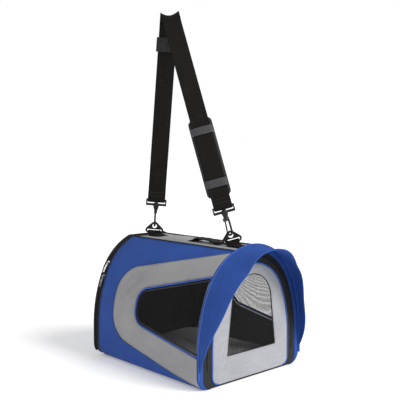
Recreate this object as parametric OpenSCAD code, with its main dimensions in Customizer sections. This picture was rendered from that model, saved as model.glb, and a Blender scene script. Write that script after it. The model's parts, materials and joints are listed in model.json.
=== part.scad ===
// Soft pet carrier bag: an arched fabric tunnel held open by two hoops, with a
// hooded front door, a rear door, mesh windows, a grab handle and a clip-on strap.
// The front door faces -Y, up is +Z, and the origin is the middle of the base.

/* [Bag] */
// Width of the bag at its widest
body_w = 296; // [288:1:304]
// Length of the fabric tunnel between its two end seams
body_len = 325; // [315:1:335]
// Height at which the arch would close if the top were not flat
arch_h = 270; // [264:1:276]
// Height of the flat top panel
top_h = 260; // [258:0.5:262]
// Height at which the side walls start to lean in
lean_h = 72; // [66:1:78]
// Radius of the leaning side walls
side_r = 290; // [280:1:300]
// Radius of the bottom corners
corner_r = 28; // [24:1:30]
// Thickness of the padded fabric walls
wall = 3; // [2.5:0.1:3.5]
// Depth of the black gusset behind the rear seam
gusset = 14; // [12:1:18]

/* [Doors] */
// Width of the blue border round the front door
border = 14; // [12:1:16]
// Width of the zip tape round the front door
tape = 22; // [20:1:23]
// Thickness of the door panels
door_t = 2.4; // [2:0.1:2.6]
// Width of the piping round the doors
piping = 3; // [2:0.5:4]
// Half width of the mesh window in a door
window_half = 70; // [60:1:72]
// Height of the bottom of the door window
window_low = 55; // [45:1:60]
// Height of the top of the door window
window_high = 210; // [195:1:212]

/* [Hood] */
// How far the hood stands forward at its top
hood_out = 58; // [45:1:60]
// How far the hood's sides lean in at the free edge
hood_lean = 19; // [10:1:20]
// Height at which the hood starts
hood_low = 40; // [36:1:50]

/* [Strap] */
// Height of the strap's peak above the floor
strap_peak = 765; // [700:5:790]
// Width of the shoulder webbing
web_w = 40; // [38:0.5:40.5]
// Thickness of the shoulder webbing
web_t = 2; // [1.6:0.1:2.2]
// Length of the shoulder pad
pad_len = 176; // [150:1:190]
// Width of the shoulder pad
pad_w = 52; // [50:1:56]
// How far the strap's faces are turned from the bag's front
strap_turn = 42.6; // [40:0.2:45]

/* [Hardware] */
// Width of the plastic ring plates
ring_w = 42; // [41:0.5:43]
// Thickness of the ring plates
ring_t = 3; // [2.6:0.1:3]
// Radius of the hole in a ring plate
ring_hole = 5.2; // [5:0.1:5.4]
// Radius of the swivel's shank
shank_r = 3; // [2.6:0.1:3.2]
// Radial clearance of the pins and swivels
running = 0.05; // [0.03:0.01:0.08]
// Length of the zip pulls
pull_len = 24; // [20:1:26]

/* [Hidden] */

gap = 0.2;
eps = 0.01;
arc_steps = 14;
corner_steps = 8;
round_fn = 48;

half_w = body_w / 2;
front_y = -body_len / 2;
rear_y = body_len / 2;
tunnel_front = front_y + door_t + gap;
rear_face = rear_y + gap + gusset + gap;

// The arch: a side arc of radius side_r meets a top arc of radius crown_r
side_cx = half_w - side_r;
crown_r = ((arch_h - lean_h) * (arch_h - lean_h) + side_cx * side_cx - side_r * side_r)
          / (2 * (arch_h - lean_h - side_r));
crown_cz = arch_h - crown_r;
meet_angle = atan2(crown_cz - lean_h, -side_cx);

// Half width of the arch at height z, drawn in by d, on its side arc or above
function side_x(z, d) =
  z <= lean_h ? half_w - d
  : z <= lean_h + (side_r - d) * sin(meet_angle)
    ? side_cx + sqrt(pow(side_r - d, 2) - pow(z - lean_h, 2))
    : sqrt(max(pow(crown_r - d, 2) - pow(z - crown_cz, 2), 0));

// Points of an arc from angle a0 to a1
function arc(cx, cz, r, a0, a1, n = arc_steps) =
  [for (i = [0:n]) let (a = a0 + (a1 - a0) * i / n) [cx + r * cos(a), cz + r * sin(a)]];

// Angle on the crown arc, drawn in by d, where it reaches height z
function crown_angle(z, d) = asin(min((z - crown_cz) / (crown_r - d), 1));

// Right side of the arch from the bottom up, drawn in by d, with a bottom corner
// of radius cr, its foot at height foot and the crown cut off at height top
function right_side(d, cr, foot, top) = concat(
  arc(half_w - d - cr, foot + cr, cr, -90, 0, corner_steps),
  arc(side_cx, lean_h, side_r - d, 0, meet_angle),
  arc(0, crown_cz, crown_r - d, meet_angle, crown_angle(top, d))
);

function mirrored(points) = [for (i = [len(points) - 1:-1:0]) [-points[i].x, points[i].y]];

// Closed outline of the whole arch
function arch(d, cr, foot, top) =
  let (side = right_side(d, cr, foot, top)) concat(side, mirrored(side));

// Outline of the bag drawn in by d
function bag_outline(d) = arch(d, corner_r - d, d, top_h - d);

// Outlines on the front face
door_in = border + tape;
door_corner = 18;
door_foot = wall + 2 * gap;
function front_door_outline(d) =
  arch(door_in + d, door_corner - d, door_foot + d, above);
border_corner = 20;
above = 400;
function border_outline(d) = arch(border + d, border_corner - d, -1, above);

// Outline of the mesh window in the front door, drawn in by d: its round head spans the
// angles from head_a to the same angle on the other side
window_cr = 58;
head_a = 12;
function door_window(d) =
  let (r = window_cr - d, top = window_high - d, half = window_half - d)
  concat(
    [[-half, window_low + d], [half, window_low + d]],
    arc(0, top - r, r, head_a, 180 - head_a, 2 * corner_steps)
  );

function unit(v) = v / norm(v);

// Points of the arc of radius r that rounds the corner b between a and c
function fillet(a, b, c, r, n = corner_steps) =
  let (
    u = unit(a - b),
    v = unit(c - b),
    half = acos(u * v) / 2,
    centre = b + unit(u + v) * r / sin(half),
    start = b + u * r / tan(half) - centre,
    finish = b + v * r / tan(half) - centre,
    a0 = atan2(start.y, start.x),
    turn = atan2(start.x * finish.y - start.y * finish.x, start * finish)
  )
  arc(centre.x, centre.y, r, a0, a0 + turn, n);

// A sideways U that opens in front of the front edge: grown by d, with its upper and lower
// lines closing towards the rear and a rounded nose of radius r
open_out = 60;
function sideways_u(high, low, nose_high, nose_low, nose_y, r, d) =
  let (
    open = front_y - open_out,
    a = [open, high + d],
    b = [nose_y + d, nose_high + d],
    c = [nose_y + d, nose_low - d],
    e = [open, low - d]
  )
  concat([a], fillet(a, b, c, r + d), fillet(b, c, e, r + d), [e]);

function band_outline(d) = sideways_u(
  high = 270, low = -7, nose_high = 200, nose_low = 62, nose_y = 112, r = 62, d = d
);
function window_outline(d) = sideways_u(
  high = 232, low = 54, nose_high = 168, nose_low = 99, nose_y = 34, r = 33, d = d
);

// Solid between two arch outlines, from y0 to y1
module along_y(y0, y1) {
  translate([0, y1, 0]) rotate([90, 0, 0]) linear_extrude(y1 - y0) children();
}

// Solid of an outline drawn in (y, z), through the whole left side wall
outside = 20;
module left_block() {
  translate([-half_w - outside, 0, 0])
    rotate([90, 0, 90])
      linear_extrude(outside + half_w - corner_r + 10) children();
}

module mirror_x() {
  mirror([1, 0, 0]) children();
}

// Curved side wall of the tunnel between two depths, on the left
module side_wall(d0, d1, y0, y1) {
  along_y(y0, y1)
    intersection() {
      difference() {
        polygon(bag_outline(d0));
        polygon(bag_outline(d1));
      }
      translate([-half_w - outside, -outside])
        square([outside + half_w - top_half, arch_h + 2 * outside]);
      polygon([
        [-half_w - outside, -outside], [-half_w + corner_r, -outside],
        [-half_w + corner_r, arch_h / 3], [0, arch_h / 3],
        [0, arch_h + outside], [-half_w - outside, arch_h + outside]
      ]);
    }
}

// Half width of the flat top, where the bindings lie
top_half = side_x(top_h, 0) - 3;

module side_panel() {
  color("royalblue")
    difference() {
      side_wall(0, wall, tunnel_front, rear_y);
      left_block() polygon(band_outline(gap));
    }
}

module side_band() {
  color("darkgray")
    intersection() {
      side_wall(0, wall, tunnel_front, rear_y);
      difference() {
        left_block() polygon(band_outline(0));
        left_block() polygon(window_outline(piping + gap));
      }
    }
}

module window_piping() {
  color("mediumblue")
    intersection() {
      side_wall(-1, wall, tunnel_front, rear_y);
      difference() {
        left_block() polygon(window_outline(piping));
        left_block() polygon(window_outline(0));
      }
    }
}

module side_window() {
  color("dimgray")
    intersection() {
      side_wall(1, 2, tunnel_front, rear_y);
      left_block() polygon(window_outline(-gap));
    }
}

module top_panel() {
  color("silver")
    translate([-top_half + gap, tunnel_front, top_h - wall])
      cube([2 * (top_half - gap), rear_y - tunnel_front, wall]);
}

// Black webbing over the seam between top and side, on the left
binding_w = 6;
binding_t = 1.2;
module top_binding() {
  color("black")
    translate([-top_half - binding_w / 2, tunnel_front, top_h + gap])
      cube([binding_w, rear_y - tunnel_front, binding_t]);
}

base_half = half_w - corner_r - gap;
module base_panel() {
  color("black")
    translate([-base_half, front_y, 0])
      cube([2 * base_half, rear_face + door_t - front_y, wall]);
}

// Stiff board and cushion that lie on the base inside the bag
board_t = 3;
board_side = 32;
board_half = half_w - board_side;
board_end = 16;
board_z = wall + gap;
pad_h = 28;
module floor_board() {
  color("dimgray")
    translate([-board_half, front_y + board_end, board_z])
      cube([2 * board_half, body_len - 2 * board_end, board_t]);
}

module floor_pad() {
  color("gray")
    translate([-board_half, front_y + board_end, board_z + board_t + gap])
      cube([2 * board_half, body_len - 2 * board_end, pad_h]);
}

// Springy hoop inside an end of the tunnel, standing on the base
hoop_w = 5;
hoop_t = 3;
hoop_foot = 4;
module hoop(y) {
  color("lightslategray")
    along_y(y, y + hoop_w)
      difference() {
        polygon(bag_outline(wall + gap));
        polygon(bag_outline(wall + gap + hoop_t));
        translate([-base_half, -1])
          square([2 * base_half, wall + hoop_t + hoop_foot]);
      }
}

module front_border() {
  color("royalblue")
    along_y(front_y, front_y + door_t)
      difference() {
        polygon(arch(0, corner_r, 0, arch_h));
        polygon(border_outline(0));
        translate([-base_half - gap, -1]) square([2 * (base_half + gap), wall + 1 + gap]);
      }
}

// The zip's coil stands a little proud of its tape
coil_in = 11;
coil_w = 4;
coil_h = 0.6;
tape_end = half_w - door_in - door_corner;
module front_zip_tape() {
  color("black")
    along_y(front_y, front_y + door_t)
      difference() {
        intersection() {
          polygon(border_outline(gap));
          translate([-half_w, door_foot]) square([body_w, arch_h]);
        }
        polygon(front_door_outline(-gap));
        translate([-tape_end, -1]) square([2 * tape_end, door_foot + 1 + gap]);
      }
  color("black")
    along_y(front_y - coil_h, front_y + eps)
      difference() {
        intersection() {
          polygon(border_outline(coil_in - coil_w / 2));
          translate([-half_w, lean_h / 2]) square([body_w, arch_h]);
        }
        polygon(border_outline(coil_in + coil_w / 2));
      }
}

// Blue cord in the seam between the tunnel and the hood
cord_w = 3.4;
cord_out = 1;
cord_in = 3;
module front_seam_piping() {
  color("dodgerblue")
    along_y(front_y - cord_w, front_y - gap)
      difference() {
        polygon(arch(-cord_out, corner_r, 0, arch_h + cord_out));
        polygon(arch(cord_in, corner_r - cord_in, -1, arch_h - cord_in));
        translate([-base_half - gap, -1]) square([2 * (base_half + gap), wall + 2]);
      }
}

// Hood: a curved flap from the front seam to a free edge that stands forward
hood_t = 2.2;
hood_start = 3.8;
hood_least = 1;
hood_steps = 36;
hood_power = 0.8;
lean_from = hood_low + 20;
lean_to = 165;
crown_from = 235;
crown_share = 0.9;
function smooth(a, b, x) =
  let (t = max(0, min(1, (x - a) / (b - a)))) t * t * (3 - 2 * t);
function hood_forward(z) =
  hood_out * pow(max(z - hood_low, 0) / (arch_h - hood_low), hood_power);
function hood_inward(z) =
  hood_lean * smooth(lean_from, lean_to, z) * (1 - crown_share * smooth(crown_from, arch_h, z));

// The seam on one side, for a share k of the way from its foot to the top: first a
// straight stretch, then the side arc, then the crown arc
seam_straight = 0.1;
seam_side = 0.4;
function seam_share(k) = (k - seam_straight) / (1 - seam_straight);
function hood_dir(k) =
  k < seam_side
  ? meet_angle * k / seam_side
  : meet_angle + (90 - meet_angle) * (k - seam_side) / (1 - seam_side);
function hood_seam(k, d) =
  let (a = hood_dir(k))
  k < seam_side
  ? [side_cx + (side_r - d) * cos(a), lean_h + (side_r - d) * sin(a)]
  : [(crown_r - d) * cos(a), crown_cz + (crown_r - d) * sin(a)];

// Point and inward normal of the seam for a share u from the left foot to the right
function hood_side(u) = u < 0.5 ? -1 : 1;
function hood_share(u) = u < 0.5 ? 2 * u : 2 - 2 * u;
function hood_point(u, d) =
  let (
    k = hood_share(u),
    q = k < seam_straight
        ? [half_w - d, hood_low + (lean_h - hood_low) * k / seam_straight]
        : hood_seam(seam_share(k), d)
  )
  [hood_side(u) * q.x, q.y];
function hood_normal(u) =
  let (k = hood_share(u), a = k < seam_straight ? 0 : hood_dir(seam_share(k)))
  [-hood_side(u) * cos(a), -sin(a)];

// Corner of the hood: at the seam (0) or the free edge (1), outside or inside
function hood_corner(u, far, d) =
  let (
    p = hood_point(u, d),
    z = hood_point(u, 0).y,
    q = p + hood_normal(u) * hood_inward(z) * far
  )
  [q.x, front_y - hood_start - (hood_least + hood_forward(z)) * far, q.y];

module hood() {
  ring = [for (i = [0:hood_steps]) i / hood_steps];
  points = [for (u = ring)
    each [hood_corner(u, 0, 0), hood_corner(u, 1, 0),
          hood_corner(u, 1, hood_t), hood_corner(u, 0, hood_t)]];
  sides = [for (i = [0:hood_steps - 1]) for (j = [0:3])
    [4 * i + j, 4 * i + (j + 1) % 4, 4 * i + 4 + (j + 1) % 4, 4 * i + 4 + j]];
  last = 4 * hood_steps;
  color("royalblue")
    polyhedron(points, concat([[3, 2, 1, 0]], sides,
      [[last, last + 1, last + 2, last + 3]]), convexity = 6);
}

gusset_wall = 2.4;
module rear_gusset() {
  color("black")
    along_y(rear_y + gap, rear_y + gap + gusset)
      difference() {
        polygon(bag_outline(0));
        polygon(bag_outline(gusset_wall));
        translate([-base_half - gap, -1]) square([2 * (base_half + gap), wall + 2]);
      }
}

// Webbing tabs sewn to the top panel, which hold the ring plates
tab_w = 32;
tab_t = 1.2;
tab_in = 4;
tab_end = 6;
rear_tab_len = 34;
module tab(y0, y1) {
  color("black")
    translate([-tab_w / 2, y0, top_h + gap]) cube([tab_w, y1 - y0, tab_t]);
}

// Front and rear ring plates: where each plate's lower bar is held
front_rise = 9;
rear_rise = 7.6;
front_pivot = [0, -107, top_h + front_rise];
rear_pivot = [0, 150, top_h + rear_rise];
strap_peak_y = 93;
peak_gap = 6;
away = [sin(strap_turn), cos(strap_turn), 0];
front_peak = [0, strap_peak_y, strap_peak] - peak_gap * away;
rear_peak = [0, strap_peak_y, strap_peak] + peak_gap * away;

// Turns local width, thickness and up to the line from a pivot to the strap's peak
module strap_frame(pivot, peak) {
  s = unit(peak - pivot);
  w = unit(cross(away, s));
  t = cross(s, w);
  multmatrix([
    [w.x, t.x, s.x, pivot.x], [w.y, t.y, s.y, pivot.y],
    [w.z, t.z, s.z, pivot.z], [0, 0, 0, 1]
  ]) children();
}
module on_front_line() {
  strap_frame(front_pivot, front_peak) children();
}
module on_rear_line() {
  strap_frame(rear_pivot, rear_peak) children();
}

// Ring plate: a rounded triangle with a webbing slot and a hook hole
ring_hole_z = 14.5;
ring_corner = 7;
ring_corner_z = 5;
ring_head = 10;
slot_w = 33;
slot_z = 2;
slot_h = 4.6;
module ring_plate() {
  foot = ring_w / 2 - ring_corner;
  color("darkslategray")
    rotate([90, 0, 0])
      difference() {
        linear_extrude(ring_t, center = true)
          hull() {
            translate([-foot, ring_corner_z]) circle(ring_corner, $fn = round_fn);
            translate([foot, ring_corner_z]) circle(ring_corner, $fn = round_fn);
            translate([0, ring_hole_z]) circle(ring_head, $fn = round_fn);
          }
        translate([0, ring_hole_z, -ring_t]) cylinder(2 * ring_t, r = ring_hole, $fn = round_fn);
        translate([-slot_w / 2, slot_z, -ring_t]) cube([slot_w, slot_h, 2 * ring_t]);
      }
}

// Snap hook, in its own plane (local X across the loop, Z up the shank)
wire_r = 2.2;
bend_r = 7.2;
hook_play = 2.2;
bend_z = ring_hole_z + ring_hole - wire_r - hook_play + bend_r;
yoke_z = 47;
boss_low = 53.2;
bar_top = 67.5;
gate_above = 1.2;
gate_pivot = [-5.2, yoke_z + gate_above];
pin_r = 1.1;
pin_len = 6.4;
nose_h = 2.6;
gate_w = 2.4;
gate_eye_r = 2.3;
gate_play = 0.6;
fork_gap = 3.2;
fork_h = 7;
yoke_t = 6.8;
yoke_drop = 1.4;
yoke_low = yoke_z - yoke_drop;
yoke_left = 8;
yoke_right = 6;
elbow_drop = 4;
elbow_z = yoke_z - elbow_drop;
shank_head_r = 4.6;
shank_head_t = 1.6;
end_play = 0.3;

module rod_between(a, b, r) {
  v = b - a;
  translate([a.x, 0, a.y])
    rotate([0, atan2(v.x, v.y), 0])
      cylinder(norm(v), r = r, $fn = round_fn);
}

module gate_axis(length, r) {
  translate([gate_pivot.x, length / 2, gate_pivot.y])
    rotate([90, 0, 0]) cylinder(length, r = r, $fn = round_fn);
}

module hook() {
  elbow = [bend_r, elbow_z];
  color("dimgray") {
    difference() {
      union() {
        translate([0, 0, bend_z])
          rotate([90, 0, 0])
            rotate([0, 0, 180])
              rotate_extrude(angle = 180, $fn = round_fn)
                translate([bend_r, 0]) circle(wire_r, $fn = round_fn);
        translate([-bend_r, 0, bend_z]) cylinder(nose_h, r = wire_r, $fn = round_fn);
        rod_between([bend_r, bend_z], elbow, wire_r);
        translate([elbow.x, 0, elbow.y]) sphere(wire_r, $fn = round_fn);
        rod_between(elbow, [bend_r / 2, yoke_z + 2], wire_r);
        translate([-yoke_left, -yoke_t / 2, yoke_low])
          cube([yoke_left + yoke_right, yoke_t, boss_low - gap - yoke_low]);
      }
      translate([-yoke_left - 1, -fork_gap / 2, yoke_low - 2])
        cube([yoke_left - wire_r + 1, fork_gap, fork_h]);
      gate_axis(2 * yoke_t, pin_r + running);
    }
    translate([0, 0, boss_low - gap - eps])
      cylinder(bar_top + end_play + gap + 2 * eps - boss_low, r = shank_r, $fn = round_fn);
    translate([0, 0, bar_top + end_play])
      cylinder(shank_head_t, r = shank_head_r, $fn = round_fn);
  }
}

// Sprung gate that closes the hook's mouth
module gate() {
  foot_z = bend_z + nose_h + gate_play;
  reach = gate_pivot.y - foot_z;
  lean = atan2(bend_r + gate_pivot.x, reach);
  color("gray")
    difference() {
      union() {
        gate_axis(fork_gap - gate_play, gate_eye_r);
        translate([gate_pivot.x, 0, gate_pivot.y])
          rotate([0, lean, 0])
            translate([-gate_w / 2, -gate_w / 2, -reach]) cube([gate_w, gate_w, reach]);
      }
      gate_axis(2 * yoke_t, pin_r + running);
    }
}

module gate_pin() {
  color("silver") gate_axis(pin_len, pin_r);
}

// The front hook's loop is turned a little so that its mouth shows
front_hook_turn = 40;
module front_hook_frame() {
  on_front_line() rotate([0, 0, -90 + front_hook_turn]) children();
}
module rear_hook_frame() {
  on_rear_line() rotate([0, 0, -90]) children();
}

// Rectangular swivel frame with the boss that turns on the hook's shank
frame_w = 47;
frame_t = 5;
frame_side = 3;
bar_low = 62.5;
window_z = 74;
frame_top = 78;
boss_top_r = 7.4;
boss_sink = 1;
module swivel_frame() {
  color("darkslategray")
    difference() {
      union() {
        translate([-frame_w / 2, -frame_t / 2, bar_low])
          cube([frame_w, frame_t, frame_top - bar_low]);
        translate([0, 0, boss_low])
          cylinder(bar_low - boss_low + boss_sink, r1 = shank_head_r, r2 = boss_top_r, $fn = round_fn);
        translate([0, 0, bar_low])
          cylinder(bar_top - bar_low, r = boss_top_r, $fn = round_fn);
      }
      translate([-frame_w / 2 + frame_side, -frame_t, bar_top])
        cube([frame_w - 2 * frame_side, 2 * frame_t, window_z - bar_top]);
      translate([0, 0, boss_low - 1])
        cylinder(bar_top - boss_low + 2, r = shank_r + running, $fn = round_fn);
    }
}

// Webbing folded round the swivel frame's upper bar and stitched
end_len = 26;
end_over = 2.2;
end_low = window_z - end_over;
end_t = frame_t + 2 * web_t;
module strap_end() {
  color("black")
    difference() {
      translate([-web_w / 2, -end_t / 2, end_low]) cube([web_w, end_t, end_len]);
      translate([-web_w, -frame_t / 2 - gap, window_z - gap])
        cube([2 * web_w, frame_t + 2 * gap, frame_top - window_z + 2 * gap]);
    }
}

strand_gap = 0.5;
strand_start = end_low + end_len + strand_gap;
module strand(length) {
  translate([-web_w / 2, -web_t / 2, strand_start])
    cube([web_w, web_t, length - strand_start]);
}

fold_h = 8;
fold_t = 2 * (peak_gap + web_t);
module strap_webbing() {
  front_len = norm(front_peak - front_pivot);
  rear_len = norm(rear_peak - rear_pivot);
  color("black") {
    on_front_line() strand(front_len);
    on_rear_line() strand(rear_len);
    translate([0, strap_peak_y, strap_peak])
      rotate([0, 0, -strap_turn])
        translate([-web_w / 2, -fold_t / 2, -fold_h]) cube([web_w, fold_t, fold_h]);
  }
}

// Plastic adjuster that the rear run of the strap passes through
adjuster_w = 48;
adjuster_z = 412;
adjuster_h = 32;
adjuster_t = 7;
adjuster_play = 0.3;
module strap_adjuster() {
  slot = web_t + 2 * adjuster_play;
  slot_len = web_w + 2 * adjuster_play;
  color("darkslategray")
    on_rear_line()
      difference() {
        translate([-adjuster_w / 2, -adjuster_t / 2, adjuster_z])
          cube([adjuster_w, adjuster_t, adjuster_h]);
        translate([-slot_len / 2, -slot / 2, adjuster_z - 1])
          cube([slot_len, slot, adjuster_h + 2]);
      }
}

// Cushion behind the webbing, and the two cross loops that hold it there
pad_z = 100;
pad_t = 9;
pad_gap = 0.4;
module shoulder_pad() {
  color("dimgray")
    on_front_line()
      translate([-pad_w / 2, web_t / 2 + pad_gap, pad_z])
        cube([pad_w, pad_t, pad_len]);
}

loop_h = 17;
loop_in = 20;
loop_t = 1.6;
loop_play = 0.6;
loop_side = 2;
module pad_loops() {
  reach = web_w / 2 + loop_play;
  face = web_t / 2 + pad_gap;
  color("gray")
    on_front_line()
      for (z = [pad_z + loop_in, pad_z + pad_len - loop_in - loop_h])
        difference() {
          translate([-reach - loop_side, -face - loop_t, z])
            cube([2 * (reach + loop_side), loop_t + 2 * face - gap, loop_h]);
          translate([-reach, -face, z - 1]) cube([2 * reach, 4 * face, loop_h + 2]);
        }
}

// Grab handle lying along the top, and the two patches that hold its ends
handle_mid = -29;
handle_half = 46;
handle_w = 28;
patch_len = 16;
grip_end = 10;
grip_t = 5;
module handle_ends() {
  color("black")
    for (s = [-1, 1])
      translate([-handle_w / 2, handle_mid + s * (handle_half - patch_len / 2) - patch_len / 2,
                 top_h + gap])
        cube([handle_w, patch_len, tab_t]);
}

module handle_grip() {
  color("black")
    translate([-handle_w / 2, handle_mid - handle_half + grip_end, top_h + tab_t + 2 * gap])
      cube([handle_w, 2 * (handle_half - grip_end), grip_t]);
}

module front_door_panel() {
  color("lightgray")
    along_y(front_y, front_y + door_t)
      difference() {
        union() {
          polygon(front_door_outline(piping + gap));
          translate([-tape_end + gap, door_foot])
            square([2 * (tape_end - gap), piping + 2]);
        }
        polygon(door_window(0));
      }
}

net_t = 0.8;
module front_door_mesh() {
  net_y = front_y + (door_t - net_t) / 2;
  color("dimgray")
    along_y(net_y, net_y + net_t) polygon(door_window(gap));
}

piping_out = 1;
module front_door_piping() {
  color("mediumblue")
    along_y(front_y - piping_out, front_y + door_t)
      difference() {
        polygon(front_door_outline(0));
        polygon(front_door_outline(piping));
        translate([-tape_end, -1]) square([2 * tape_end, door_foot + piping + gap + 1]);
      }
}

rear_in = 1.5;
rear_corner = 22;
binding = 6;
function rear_door_outline(d) =
  arch(rear_in + d, rear_corner - d, door_foot + d, top_h - rear_in - d);
module rear_door_panel() {
  color("royalblue")
    along_y(rear_face, rear_face + door_t) polygon(rear_door_outline(binding + gap));
}

module rear_door_binding() {
  color("black")
    along_y(rear_face, rear_face + door_t)
      difference() {
        polygon(rear_door_outline(0));
        polygon(rear_door_outline(binding));
      }
}

// Zip slider, lying on its track: local X up the track, Z out of the face
slider_len = 9;
slider_w = 7;
slider_t = 1.8;
slider_z = 0.3;
lug_gap = 3.4;
lug_t = 1.2;
lug_len = 3.2;
lug_top = 5.4;
pivot_out = 3.9;
pull_pin_r = 0.8;
module pull_axis(length, r) {
  translate([0, -length / 2, pivot_out])
    rotate([-90, 0, 0]) cylinder(length, r = r, $fn = round_fn);
}

module slider() {
  lug_z = slider_z + slider_t - eps;
  color("silver") {
    translate([-slider_len / 2, -slider_w / 2, slider_z])
      cube([slider_len, slider_w, slider_t]);
    for (s = [-1, 1])
      translate([-lug_len / 2, s * (lug_gap + lug_t) / 2 - lug_t / 2, lug_z])
        cube([lug_len, lug_t, lug_top - lug_z]);
    pull_axis(lug_gap + lug_t, pull_pin_r);
  }
}

// The pull narrows to a neck with an eye round the slider's pin
pull_w = 6;
pull_t = 1.4;
neck_len = 7;
neck_over = 0.5;
eye_play = 0.3;
eye_r = 1.7;
cord_hole_r = 1.5;
module pull() {
  eye_w = lug_gap - 2 * eye_play;
  flat_z = pivot_out - pull_t / 2;
  color("silver")
    difference() {
      union() {
        pull_axis(eye_w, eye_r);
        translate([-neck_len, -eye_w / 2, flat_z]) cube([neck_len, eye_w, pull_t]);
        translate([-pull_len, -pull_w / 2, flat_z])
          cube([pull_len - neck_len + neck_over, pull_w, pull_t]);
      }
      pull_axis(2 * lug_gap, pull_pin_r + running);
      translate([-pull_len + pull_w / 2 + 1, 0, 0])
        cylinder(2 * pivot_out, r = cord_hole_r, $fn = round_fn);
    }
}

// Track of the front zip on the face, at an angle up the left side arc
module on_front_track(a) {
  track_r = side_r - border - coil_in;
  multmatrix([
    [sin(a), -cos(a), 0, -side_cx - track_r * cos(a)],
    [0, 0, -1, front_y - coil_h],
    [cos(a), sin(a), 0, lean_h + track_r * sin(a)],
    [0, 0, 0, 1]
  ]) children();
}

// Track of the rear zip on the outside of the gusset: up the side arc, then along the crown
module on_rear_track(a) {
  on_crown = a > meet_angle;
  track_r = on_crown ? crown_r : side_r;
  centre = on_crown ? [0, crown_cz] : [-side_cx, lean_h];
  multmatrix([
    [sin(a), 0, -cos(a), centre.x - track_r * cos(a)],
    [0, 1, 0, rear_y + gap + gusset / 2 - 1],
    [cos(a), 0, sin(a), centre.y + track_r * sin(a)],
    [0, 0, 0, 1]
  ]) children();
}

front_upper = 15;
front_lower = 9;
rear_upper = 31;
rear_lower = 21;

side_panel();  // side_panel_left
mirror_x() side_panel();  // side_panel_right
side_band();  // side_band_left
mirror_x() side_band();  // side_band_right
side_window();  // side_window_left
mirror_x() side_window();  // side_window_right
window_piping();  // window_piping_left
mirror_x() window_piping();  // window_piping_right
top_panel();
top_binding();  // top_binding_left
mirror_x() top_binding();  // top_binding_right
base_panel();
floor_board();
floor_pad();
hoop(tunnel_front);  // front_hoop
hoop(rear_y - hoop_w);  // rear_hoop
front_border();
front_zip_tape();
front_seam_piping();
hood();
rear_gusset();
tab(front_y + tab_in, front_pivot.y - tab_end);  // front_tab
tab(rear_pivot.y - rear_tab_len, rear_pivot.y + tab_end);  // rear_tab
handle_ends();
handle_grip();
front_door_panel();
front_door_mesh();
front_door_piping();
rear_door_panel();
rear_door_binding();
on_front_track(front_upper) slider();  // front_slider_upper
on_front_track(front_lower) slider();  // front_slider_lower
on_front_track(front_upper) pull();  // front_pull_upper
on_front_track(front_lower) pull();  // front_pull_lower
on_rear_track(rear_upper) slider();  // rear_slider_upper
on_rear_track(rear_lower) slider();  // rear_slider_lower
on_rear_track(rear_upper) pull();  // rear_pull_upper
on_rear_track(rear_lower) pull();  // rear_pull_lower
strap_webbing();
on_front_line() strap_end();  // strap_end_front
on_rear_line() strap_end();  // strap_end_rear
strap_adjuster();
shoulder_pad();
pad_loops();
on_front_line() swivel_frame();  // front_swivel_frame
on_rear_line() swivel_frame();  // rear_swivel_frame
on_front_line() ring_plate();  // front_ring
on_rear_line() ring_plate();  // rear_ring
front_hook_frame() hook();  // front_hook
rear_hook_frame() hook();  // rear_hook
front_hook_frame() gate();  // front_gate
rear_hook_frame() gate();  // rear_gate
front_hook_frame() gate_pin();  // front_gate_pin
rear_hook_frame() gate_pin();  // rear_gate_pin
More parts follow.
